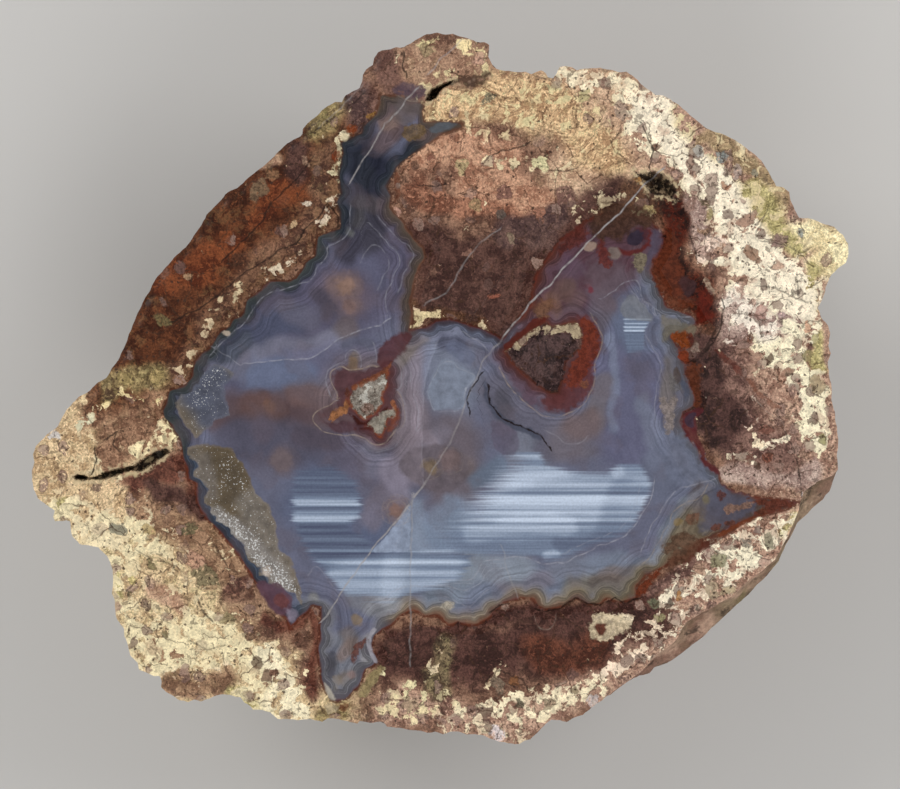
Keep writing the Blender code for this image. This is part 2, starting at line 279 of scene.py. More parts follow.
# The border between the rock and the agate that fills its hollow
AGATE_BORDER_PX = (
    (340, 193), (336, 202), (339, 210), (340, 220), (340, 228), (330, 231), (318, 236), (316, 245),
    (314, 256), (305, 262), (300, 272), (296, 278), (283, 281), (270, 281), (264, 285), (261, 290),
    (252, 295), (246, 300), (244, 309), (240, 316), (233, 319), (229, 326), (220, 330), (217, 336),
    (210, 347), (201, 354), (195, 361), (192, 370), (191, 377), (186, 383), (180, 387), (170, 390),
    (168, 394), (165, 403), (162, 411), (164, 418), (171, 426), (176, 433), (180, 441), (182, 450),
    (183, 459), (187, 468), (189, 480), (197, 483), (196, 493), (198, 504), (202, 512), (208, 521),
    (212, 524), (227, 541), (241, 559), (253, 579), (264, 593), (273, 607), (287, 619), (291, 633),
    (293, 626), (299, 618), (308, 612), (312, 605), (321, 607), (320, 619), (320, 632), (318, 648),
    (320, 670), (321, 680), (325, 690), (330, 700), (336, 702), (345, 700), (350, 695), (358, 688),
    (362, 680), (366, 670), (374, 665), (377, 658), (372, 648), (374, 636), (382, 630), (391, 626),
    (400, 616), (410, 611), (418, 612), (424, 616), (437, 616), (442, 619), (448, 627), (458, 622),
    (467, 625), (475, 625), (483, 622), (490, 617), (496, 610), (504, 602), (515, 600), (522, 598),
    (533, 599), (538, 606), (545, 609), (556, 608), (565, 606), (572, 600), (577, 598), (588, 604),
    (600, 604), (608, 599), (620, 602), (636, 598), (637, 585), (645, 577), (651, 573), (667, 565),
    (675, 558), (688, 556), (690, 549), (694, 546), (699, 540), (711, 537), (735, 526), (750, 520),
    (769, 514), (790, 508), (800, 502), (779, 499), (760, 497), (745, 495), (733, 491), (722, 485),
    (719, 479), (719, 473), (715, 470), (706, 464), (700, 458), (699, 448), (692, 442), (685, 430),
    (681, 421), (683, 412), (695, 406), (696, 400), (691, 385), (685, 373), (686, 364), (682, 362),
    (680, 349), (671, 336), (697, 324), (694, 316), (668, 307), (657, 284), (651, 270), (662, 250),
    (662, 235), (648, 216), (610, 213), (585, 221), (576, 230), (559, 241), (541, 268), (536, 275),
    (530, 304), (502, 339), (487, 330), (467, 324), (450, 319), (436, 321), (425, 327), (410, 330),
    (413, 316), (410, 301), (416, 275), (425, 258), (423, 247), (413, 238), (405, 224), (390, 207),
    (391, 195), (386, 187), (390, 180), (396, 169), (402, 162), (411, 156), (423, 147), (441, 135),
    (463, 128), (463, 122), (440, 121), (424, 121), (423, 111), (427, 104), (420, 102), (409, 103),
    (405, 99), (399, 94), (390, 96), (380, 94), (376, 114), (370, 120), (363, 126), (361, 133),
    (354, 136), (343, 141), (341, 144), (343, 153), (340, 162), (339, 175),
)

# Pieces of rock that lie loose in the agate
BIG_ISLAND_PX = (
    (505, 352), (510, 345), (522, 336), (540, 326), (547, 322), (550, 326), (562, 325), (576, 322),
    (582, 328), (583, 338), (581, 348), (573, 356), (566, 362), (565, 372), (561, 384), (558, 394),
    (548, 392), (536, 385), (522, 372), (512, 362),
)
SMALL_ISLAND_PX = (
    (388, 372), (387, 380), (386, 388), (382, 396), (383, 403), (378, 411), (372, 415), (364, 420),
    (357, 414), (350, 405), (348, 400), (352, 394), (354, 386), (362, 382), (372, 379), (380, 374),
)
CRUMB_ISLAND_PX = (
    (366, 426), (373, 424), (380, 418), (386, 412), (391, 410), (395, 413), (394, 418), (388, 418),
    (386, 422), (386, 428), (380, 436), (376, 434), (374, 429),
)
ISLANDS_PX = (BIG_ISLAND_PX, SMALL_ISLAND_PX, CRUMB_ISLAND_PX)

# Coarse clear quartz on the left wall of the hollow
LONG_QUARTZ_PX = (
    (184, 447), (207, 444), (227, 447), (241, 461), (250, 478), (255, 495), (270, 507), (275, 524),
    (278, 547), (290, 561), (298, 579), (301, 602), (294, 593), (258, 579), (244, 556), (227, 538),
    (207, 516), (201, 501), (198, 481), (189, 464),
)
UPPER_QUARTZ_PX = (
    (175, 405), (190, 385), (205, 370), (215, 365), (235, 372), (222, 385), (225, 400), (230, 415),
    (215, 420), (205, 430), (195, 437), (185, 425),
)
QUARTZ_PX = (LONG_QUARTZ_PX, UPPER_QUARTZ_PX)

# A crusted corner of the agate, which its banding goes round
CRUSTED_PX = (
    (640, 600), (650, 580), (664, 566), (670, 548), (678, 530), (690, 512), (700, 500), (712, 492),
    (724, 490), (745, 493), (765, 502), (735, 528), (700, 550), (668, 572),
)
CRUST_START_PX = 7.0

# Where the agate settled in level bands; the right ones also fade out towards a slanting line
LEFT_LEVELS_PX = (
    (294, 470), (330, 462), (358, 480), (363, 497), (363, 520), (352, 526), (372, 540), (400, 548),
    (462, 548), (472, 553), (474, 566), (462, 580), (440, 590), (392, 603), (345, 599), (326, 578),
    (302, 548), (290, 520), (289, 496),
)
RIGHT_LEVELS_PX = (
    (440, 449), (540, 449), (548, 460), (570, 468), (590, 470), (605, 470), (612, 466), (620, 461),
    (640, 461), (648, 470), (655, 483), (652, 495), (648, 503), (640, 520), (635, 530), (625, 537),
    (612, 542), (600, 545), (590, 550), (575, 556), (560, 563), (545, 563), (535, 559), (500, 557),
    (484, 558), (440, 556), (400, 556), (380, 500),
)
RIGHT_FADE_PX = (
    (512, 440), (484, 478), (462, 500), (440, 520), (418, 540), (400, 556), (400, 640), (700, 640),
    (700, 400), (520, 400),
)
SMALL_LEVELS_PX = (
    (622, 316), (650, 316), (652, 320), (646, 330), (645, 352), (626, 354), (623, 333),
)

# Level bands: the height on the picture, and how white the agate is there
LEFT_BANDS = (
    (470, 0.16), (476, 0.18), (478, 0.30), (480, 0.16), (484, 0.32), (486.5, 0.12), (490, 0.24),
    (492, 0.17), (496, 0.32), (499, 0.55), (501.5, 0.70), (503, 0.66), (504.5, 0.76),
    (505.7, 0.62), (507.2, 0.20), (509, 0.24), (512.3, 0.58), (514, 0.50), (518, 0.78),
    (519.3, 0.64), (521, 0.74), (523.3, 0.27), (526, 0.14), (528, 0.12), (530.3, 0.28),
    (533.5, 0.06), (539, 0.36), (542.5, 0.20), (544, 0.12), (548, 0.22), (551, 0.54), (553, 0.03),
    (558, 0.20), (562, 0.62), (563.5, 0.52), (566.5, 0.18), (573.5, 0.50), (577.5, 0.27),
    (582.5, 0.44), (590, 0.36), (600, 0.30),
)
RIGHT_BANDS = (
    (449, 0.30), (451, 0.56), (453, 0.30), (456, 0.56), (462, 0.30), (468, 0.53), (469.5, 0.45),
    (472, 0.60), (478.5, 0.64), (482, 0.60), (484, 0.76), (486, 0.76), (488.7, 0.54),
    (490.7, 0.64), (493, 0.36), (495, 0.66), (497, 0.94), (502, 0.88), (504, 0.84), (507, 0.68),
    (508, 0.72), (509.7, 0.58), (512.5, 0.86), (515, 0.66), (517, 0.56), (519, 0.82),
    (520.5, 0.82), (523.5, 0.36), (527, 0.64), (530, 0.50), (531, 0.56), (533, 0.40), (537, 0.44),
    (538.7, 0.28), (540.5, 0.48), (543, 0.36), (546, 0.36), (553.5, 0.47), (555.5, 0.28),
    (560, 0.35), (566, 0.30),
)
SMALL_BANDS = (
    (316, 0.30), (318, 0.40), (319, 0.78), (320.5, 0.36), (322.5, 0.40), (323.5, 0.80),
    (325, 0.36), (326, 0.44), (327.2, 0.84), (328.8, 0.40), (331, 0.92), (332.3, 0.20),
    (334, 0.30), (343, 0.32), (350, 0.30),
)

# Hollows of the cut face: their rims, how deep each is, and how many pixels wide its slope is
VUG_RIM_PX = (
    (634, 171), (643, 174), (653, 170), (664, 174), (672, 182), (678, 191), (673, 200), (664, 196),
    (651, 195), (645, 186),
)
CREVICE_RIM_PX = (
    (425, 101), (427, 94), (432, 88), (439, 85), (447, 82), (455, 79), (451, 84), (444, 88),
    (440, 92), (437, 98), (431, 101),
)
FISSURE_RIM_PX = (
    (72, 477), (77, 474), (83, 474), (89, 477), (96, 476), (103, 472), (118, 468), (134, 465),
    (145, 457), (158, 450), (166, 448), (171, 452), (162, 458), (149, 467), (141, 472), (133, 471),
    (125, 473), (114, 477), (104, 480), (96, 480), (89, 480), (82, 481), (75, 480),
)
HOLLOWS = (
    (VUG_RIM_PX, VUG_DEPTH, 9.0),
    (CREVICE_RIM_PX, CREVICE_DEPTH, 3.0),
    (FISSURE_RIM_PX, FISSURE_DEPTH, 3.0),
)

# Cracks that healed with pale quartz: how plain each is, then its points
HEALED_CRACKS = (
    (1.00, ((665, 168), (650, 179), (632, 198), (620, 213), (600, 230), (581, 250), (570, 261),
        (550, 284), (530, 304), (504, 336))),
    (0.45, ((504, 336), (482, 362), (473, 385), (450, 444), (422, 487))),
    (0.85, ((422, 487), (402, 516), (379, 541), (370, 552), (356, 572), (345, 585), (336, 602),
        (321, 622))),
    (0.45, ((413, 495), (411, 540), (410, 600), (410, 665))),
    (0.50, ((462, 40), (452, 50), (440, 60), (428, 75))),
    (0.75, ((418, 88), (405, 100), (398, 112), (385, 123), (378, 135), (370, 150), (360, 165),
        (350, 182))),
    (0.35, ((502, 545), (507, 570), (518, 598))),
    (0.40, ((500, 228), (480, 243), (465, 260), (455, 280), (445, 293), (425, 305))),
    (0.35, ((363, 85), (350, 97), (337, 112), (318, 128))),
)

# Thin pale lines of the agate's banding
PALE_LINES = (
    (0.50, ((402, 372), (401, 385), (397, 391))),
    (0.55, ((350, 205), (350, 215), (351, 228), (345, 236), (338, 242), (326, 246), (328, 256),
        (322, 262), (316, 268), (315, 275), (308, 282), (300, 284), (284, 290), (270, 292),
        (258, 302), (252, 312), (244, 324), (232, 332), (222, 343), (210, 356))),
    (0.45, ((370, 224), (378, 232), (388, 244), (398, 253), (401, 262), (395, 272), (392, 283),
        (386, 292), (384, 303), (388, 315))),
    (0.50, ((211, 347), (225, 354), (242, 366))),
    (0.75, ((244, 364), (262, 362), (288, 360), (309, 359), (325, 349), (341, 337), (360, 331),
        (380, 326), (390, 318))),
    (0.45, ((410, 372), (411, 388), (414, 396), (417, 408), (419, 420), (416, 434))),
    (0.25, ((438, 340), (431, 355), (427, 370), (425, 385), (423, 400), (422, 430), (422, 475),
        (424, 483))),
    (0.55, ((462, 332), (470, 338), (480, 342), (487, 350))),
    (0.45, ((440, 365), (450, 360), (465, 372), (476, 374), (470, 385), (463, 395), (467, 403),
        (462, 412), (450, 411), (433, 413), (430, 400), (427, 390), (432, 380), (440, 365))),
    (0.70, ((655, 480), (653, 490), (650, 500), (645, 510), (638, 520), (633, 530), (622, 537),
        (610, 543), (600, 545), (588, 551), (575, 558), (563, 564), (555, 562), (545, 565),
        (537, 562), (525, 557), (510, 557), (500, 559), (488, 560), (480, 565), (476, 575),
        (470, 580), (455, 580), (440, 580))),
    (0.55, ((505, 568), (490, 568), (484, 575), (480, 583), (472, 588), (463, 591), (455, 588),
        (445, 586), (430, 586), (420, 586), (405, 586), (392, 592), (380, 602), (370, 607))),
    (0.30, ((308, 575), (315, 563), (325, 575), (335, 590))),
    (0.45, ((645, 335), (655, 350), (663, 368), (658, 380), (655, 400), (655, 420))),
    (0.50, ((600, 298), (612, 293), (620, 285), (632, 278), (640, 285), (640, 298), (655, 308),
        (663, 315), (690, 317))),
    (0.40, ((632, 292), (640, 300), (648, 308), (655, 316))),
    (0.35, ((545, 430), (556, 436), (564, 444), (575, 445), (587, 437))),
)
# More of them, kept apart from those that they run close to
MORE_PALE_LINES = (
    (0.25, ((345, 443), (364, 448), (376, 453), (390, 450), (402, 440))),
    (0.50, ((345, 360), (347, 352), (354, 349), (361, 354), (362, 362), (361, 368))),
    (0.50, ((373, 343), (376, 352), (376, 362))),
    (0.50, ((337, 401), (331, 398), (328, 390), (326, 380), (329, 370), (336, 365), (344, 364))),
    (0.60, ((716, 478), (702, 482), (684, 487), (672, 494), (664, 504), (658, 516), (652, 526),
        (646, 538), (642, 548), (640, 556))),
    (0.40, ((378, 215), (390, 232), (400, 240), (412, 248), (413, 258), (405, 270), (402, 285),
        (398, 293))),
    (0.40, ((360, 262), (366, 250), (374, 243), (384, 250), (389, 262), (387, 272), (380, 282),
        (378, 290))),
    (0.35, ((396, 390), (402, 396), (405, 405), (407, 415), (404, 425), (398, 432))),
    (0.45, ((488, 590), (480, 596), (475, 603), (470, 608), (462, 606), (455, 600), (445, 597))),
    (0.40, ((640, 485), (636, 505), (628, 522), (615, 532), (598, 538), (580, 545), (560, 556))),
)
# Warmer ones, and rings round the eyes: how plain, middle, radius
WARM_LINES = (
    (0.50, ((535, 616), (537, 625), (543, 630), (551, 629), (556, 621), (556, 616))),
    (0.60, ((593, 622), (598, 617), (606, 616), (613, 622), (614, 632), (608, 638), (598, 638))),
    (0.80, ((337, 397), (336, 392), (333, 384), (330, 376), (334, 369), (342, 367), (350, 370),
        (362, 370), (370, 366), (378, 366))),
    (0.75, ((338, 399), (330, 405), (320, 409), (314, 414), (313, 420), (318, 427), (324, 432),
        (334, 434), (345, 437), (352, 433), (362, 437), (368, 442), (376, 446), (384, 444),
        (390, 438), (396, 430))),
    (0.50, ((397, 393), (401, 397), (403, 405), (406, 414), (404, 422), (400, 428))),
    (0.60, ((708, 484), (704, 492), (696, 500), (684, 503), (676, 508), (671, 515), (670, 525),
        (663, 532), (660, 540), (655, 546), (651, 556), (646, 562), (638, 568))),
    (0.50, ((398, 96), (405, 99), (414, 102), (425, 100), (431, 93))),
    (0.60, ((757, 400), (770, 414), (782, 421), (785, 432))),
    (0.70, ((590, 314), (600, 328), (603, 344), (599, 356), (593, 366), (596, 374), (593, 386),
        (586, 402), (576, 411), (561, 417), (545, 417), (532, 410), (519, 398), (508, 384),
        (500, 368))),
)
RINGS = (
    (0.18, (431, 468), 11), (0.15, (450, 461), 14), (0.35, (397, 510), 10), (0.25, (397, 510), 16),
)

# Dark cracks and crevices
DARK_CRACKS = (
    (0.90, ((482, 372), (478, 377), (474, 385), (468, 395), (468, 400), (470, 415))),
    (1.00, ((488, 385), (488, 395), (490, 405), (497, 413), (505, 420), (515, 424), (523, 427),
        (540, 435), (552, 450))),
    (0.90, ((490, 612), (500, 605), (508, 603))),
    (0.90, ((533, 607), (545, 612), (560, 608), (575, 598), (588, 603), (600, 605), (615, 598),
        (625, 603), (640, 598))),
    (0.85, ((327, 203), (318, 218), (305, 230), (296, 244), (280, 250), (262, 262), (240, 276),
        (212, 300), (190, 313), (170, 322))),
    (0.85, ((327, 203), (337, 215), (338, 228))),
    (0.70, ((310, 133), (325, 125), (335, 117), (345, 110), (365, 93))),
    (0.85, ((313, 157), (300, 175), (285, 190), (270, 205), (262, 220), (246, 238), (222, 262))),
    (0.85, ((493, 155), (505, 150), (520, 148), (530, 142))),
    (0.85, ((418, 185), (430, 186), (445, 185))),
    (0.70, ((478, 170), (497, 168))),
    (0.60, ((610, 140), (615, 150), (622, 157))),
    (0.95, ((722, 300), (725, 308), (721, 315), (722, 325), (718, 335), (708, 350), (700, 358),
        (693, 362))),
    (0.85, ((198, 600), (205, 615), (213, 622))),
    (0.70, ((215, 545), (220, 555), (227, 567))),
    (0.70, ((487, 684), (490, 675), (500, 670), (512, 676), (522, 678), (527, 690))),
    (1.00, ((94, 448), (96, 462), (92, 474))),
    (0.80, ((105, 440), (116, 432), (112, 446), (120, 452))),
    (0.85, ((404, 52), (403, 66), (407, 78))),
    (0.90, ((650, 168), (654, 150), (640, 122))),
    (0.60, ((760, 240), (790, 246), (800, 254), (812, 247))),
    (0.60, ((100, 395), (112, 402), (125, 404))),
    (0.70, ((685, 215), (687, 228), (692, 240), (697, 258))),
    (0.70, ((550, 170), (565, 172), (578, 168))),
    (0.70, ((785, 432), (792, 445), (797, 462), (800, 480), (802, 498))),
    (0.80, ((716, 328), (712, 338), (706, 348), (698, 358), (688, 362))),
    (0.60, ((755, 285), (773, 287), (784, 292), (796, 298), (808, 302))),
    (0.55, ((798, 272), (797, 285), (798, 298))),
    (0.60, ((757, 231), (763, 222), (768, 208))),
    (0.55, ((720, 150), (735, 158), (748, 160))),
    (0.55, ((135, 548), (150, 560), (166, 562), (178, 572))),
    (0.50, ((190, 640), (206, 650), (224, 646))),
)

# Kinds of rock: its darker and its lighter part, then how much of it is bright flecks, dark
# specks, scattered fragments, green staining and streaks
ROCK_KINDS = {
    "brown": ((92, 64, 52), (142, 108, 88), 0.3, 0.6, 0.2, 0.0, 0.0),
    "dark_brown": ((56, 36, 28), (100, 70, 52), 0.25, 0.5, 0.1, 0.0, 0.2),
    "rust": ((56, 27, 15), (100, 58, 36), 0.12, 0.6, 0.1, 0.1, 0.15),
    "bright_rust": ((78, 36, 20), (124, 68, 40), 0.2, 0.5, 0.1, 0.0, 0.1),
    "inner_rust": ((74, 48, 38), (124, 90, 68), 0.4, 0.5, 0.1, 0.1, 0.3),
    "knob": ((176, 146, 110), (222, 194, 154), 0.4, 0.7, 0.3, 0.25, 0.3),
    "knob_brown": ((110, 78, 60), (160, 124, 98), 0.4, 0.7, 0.2, 0.1, 0.3),
    "maroon": ((74, 42, 34), (116, 74, 60), 0.2, 0.5, 0.2, 0.0, 0.1),
    "straw": ((182, 154, 118), (222, 198, 156), 0.25, 0.8, 0.3, 0.5, 0.0),
    "pinkish": ((158, 122, 98), (202, 166, 138), 0.25, 0.7, 0.3, 0.1, 0.1),
    "salmon": ((148, 104, 82), (196, 152, 124), 0.2, 0.6, 0.1, 0.05, 0.2),
    "swirl": ((170, 134, 100), (216, 184, 142), 0.4, 0.6, 0.1, 0.30, 1.0),
    "top_tan": ((172, 138, 112), (208, 176, 146), 0.25, 0.7, 0.1, 0.25, 0.3),
    "reddish": ((108, 68, 52), (164, 116, 92), 0.35, 0.6, 0.1, 0.0, 0.3),
    "umber": ((58, 36, 32), (92, 64, 56), 0.25, 0.6, 0.1, 0.0, 0.3),
    "grape": ((72, 52, 50), (108, 82, 74), 0.25, 0.5, 0.2, 0.0, 0.1),
    "top_mauve": ((90, 62, 54), (124, 92, 80), 0.15, 0.4, 0.1, 0.0, 0.1),
    "tawny": ((140, 106, 86), (178, 144, 118), 0.3, 0.4, 0.1, 0.15, 0.2),
    "under_cream": ((138, 104, 88), (190, 156, 134), 0.5, 0.9, 0.5, 0.1, 0.0),
    "dusk": ((44, 29, 27), (84, 58, 53), 0.3, 0.6, 0.1, 0.0, 0.0),
    "tan": ((116, 86, 66), (166, 132, 104), 0.25, 0.7, 0.3, 0.1, 0.1),
    "lilac": ((150, 124, 114), (196, 172, 158), 0.3, 0.9, 0.3, 0.0, 0.0),
    "mauve": ((86, 60, 54), (138, 106, 94), 0.4, 0.8, 0.3, 0.0, 0.1),
    "brick": ((54, 33, 29), (90, 60, 53), 0.12, 0.9, 0.1, 0.0, 0.0),
    "rusty_brick": ((68, 37, 27), (108, 64, 48), 0.2, 0.7, 0.1, 0.0, 0.0),
    "hematite": ((26, 9, 7), (76, 28, 16), 0.5, 0.8, 0.0, 0.0, 0.0),
    "outer": ((134, 112, 84), (184, 156, 122), 0.3, 0.4, 0.3, 0.3, 0.1),
    "nose": ((220, 200, 154), (248, 234, 190), 0.3, 0.5, 0.1, 0.2, 0.1),
    "lichen": ((152, 140, 92), (204, 190, 136), 0.3, 0.6, 0.1, 0.1, 0.0),
    "olive": ((104, 88, 58), (162, 140, 98), 0.4, 0.7, 0.2, 0.5, 0.1),
    "moss": ((70, 58, 44), (132, 114, 86), 0.6, 1.0, 0.2, 0.3, 0.0),
    "island": ((42, 31, 31), (84, 64, 62), 0.2, 0.5, 0.1, 0.0, 0.1),
    "crumbs": ((80, 70, 62), (142, 134, 124), 0.4, 0.6, 0.1, 0.0, 0.0),
}
FLOW_MIDDLE_PX = (680, 360)
FLOW_LENGTH_PX = 20.0
FLOW_WIDTH_PX = 4.2
FLOW_TURN_PX = 220.0
ROCK_SHARES = ("flecks", "specks", "fragments", "green", "flow")

# Where each kind lies, each over the ones before it: kind, line, reach from the line
ROCK_ZONES = (
    ("straw", ((90, 500), (150, 560), (170, 640), (240, 680), (290, 700)), 95),
    ("knob", ((45, 470), (80, 420), (140, 420), (110, 495)), 50),
    ("knob_brown", ((100, 410), (140, 405), (165, 420), (120, 445)), 30),
    ("knob_brown", ((100, 460), (130, 478)), 16),
    ("maroon", ((140, 492), (158, 470), (180, 462), (192, 488)), 18),
    ("tan", ((155, 515), (190, 520), (225, 560)), 30),
    ("umber", ((160, 488), (182, 500), (196, 512)), 13),
    ("pinkish", ((160, 590), (178, 600)), 16),
    ("tan", ((155, 650), (180, 655)), 14),
    ("tan", ((170, 680), (200, 688), (225, 682)), 17),
    ("brown", ((228, 590), (245, 588)), 14),
    ("tan", ((236, 610), (252, 626)), 14),
    ("brown", ((268, 628), (290, 640), (312, 640), (316, 680)), 20),
    ("maroon", ((262, 615), (280, 628), (308, 615), (316, 650), (316, 690)), 9),
    ("brown", ((255, 660), (270, 674)), 14),
    ("olive", ((345, 706), (325, 712)), 12),
    ("rust", ((118, 370), (140, 345), (160, 300), (205, 245), (262, 195), (310, 155)), 58),
    ("bright_rust", ((165, 290), (200, 265), (232, 238)), 16),
    ("bright_rust", ((250, 215), (285, 195), (310, 180)), 18),
    ("inner_rust", ((175, 385), (208, 330), (245, 282), (300, 250), (328, 215), (330, 150)), 18),
    ("tawny", ((278, 160), (262, 172)), 8),
    ("umber", ((300, 150), (300, 172)), 20),
    ("olive", ((108, 388), (130, 378), (158, 378)), 18),
    ("top_tan", ((560, 90), (610, 110), (630, 160), (580, 165)), 60),
    ("swirl", ((440, 105), (500, 95), (560, 110), (600, 150)), 38),
    ("salmon", ((420, 160), (460, 150), (500, 160)), 28),
    ("salmon", ((470, 190), (520, 190), (545, 205)), 24),
    ("reddish", ((415, 190), (440, 200), (470, 212), (520, 216)), 16),
    ("under_cream", ((690, 120), (740, 180), (790, 300), (800, 400), (815, 450)), 88),
    ("top_mauve", ((388, 62), (386, 85)), 22),
    ("tawny", ((420, 55), (430, 75), (470, 58)), 28),
    ("top_mauve", ((400, 92), (425, 92)), 10),
    ("olive", ((335, 108), (318, 126)), 20),
    ("top_mauve", ((358, 92), (362, 112)), 13),
    ("grape", ((344, 96), (352, 108), (355, 122)), 17),
    ("umber", ((420, 240), (445, 265), (500, 262), (545, 245), (590, 228), (612, 200)), 34),
    ("umber", ((438, 300), (520, 280), (500, 316)), 44),
    ("grape", ((510, 232), (560, 210), (545, 240)), 16),
    ("dark_brown", ((625, 190), (650, 205), (672, 190), (610, 212)), 20),
    ("dark_brown", ((412, 305), (418, 324), (440, 316), (468, 318), (498, 332)), 10),
    ("brown", ((685, 205), (688, 232), (694, 240)), 16),
    ("hematite", ((676, 210), (670, 232), (664, 262), (678, 284), (704, 290), (708, 312)), 19),
    ("lilac", ((690, 200), (692, 225), (700, 248)), 14),
    ("lilac", ((735, 308), (730, 335), (790, 312)), 24),
    ("mauve", ((722, 370), (735, 400), (740, 430), (770, 462)), 42),
    ("dusk", ((698, 345), (710, 380), (706, 420), (722, 440), (732, 410)), 24),
    ("lilac", ((735, 478), (770, 484), (795, 478), (820, 466)), 14),
    ("under_cream", ((790, 525), (740, 560), (700, 595), (650, 640), (610, 672)), 50),
    ("mauve", ((705, 552), (675, 572), (652, 592), (640, 610)), 12),
    ("brick", ((640, 620), (590, 640), (520, 650), (450, 658), (395, 655)), 36),
    ("brick", ((395, 630), (440, 632), (500, 612), (560, 618), (620, 610)), 14),
    ("rusty_brick", ((545, 652), (570, 655), (600, 640)), 22),
    ("under_cream", ((392, 705), (440, 712), (500, 725), (560, 702), (610, 682)), 26),
    ("moss", ((440, 645), (432, 672), (436, 692)), 17),
    ("outer", ((705, 138), (735, 150), (756, 170), (780, 200)), 13),
    ("nose", ((808, 228), (832, 240), (838, 258), (824, 264)), 22),
    ("lichen", ((745, 186), (765, 205), (785, 228), (800, 246)), 14),
    ("lichen", ((817, 268), (814, 290), (812, 306)), 9),
    ("lichen", ((822, 340), (822, 372)), 9),
    ("lichen", ((55, 512), (70, 514)), 8),
    ("lichen", ((113, 575), (116, 592)), 7),
    ("lichen", ((238, 690), (256, 704), (272, 708)), 8),
    ("lichen", ((790, 522), (780, 528)), 8),
    ("island", ((525, 355), (550, 345), (552, 380)), 46),
    ("crumbs", ((384, 378), (362, 400), (380, 425)), 40),
)

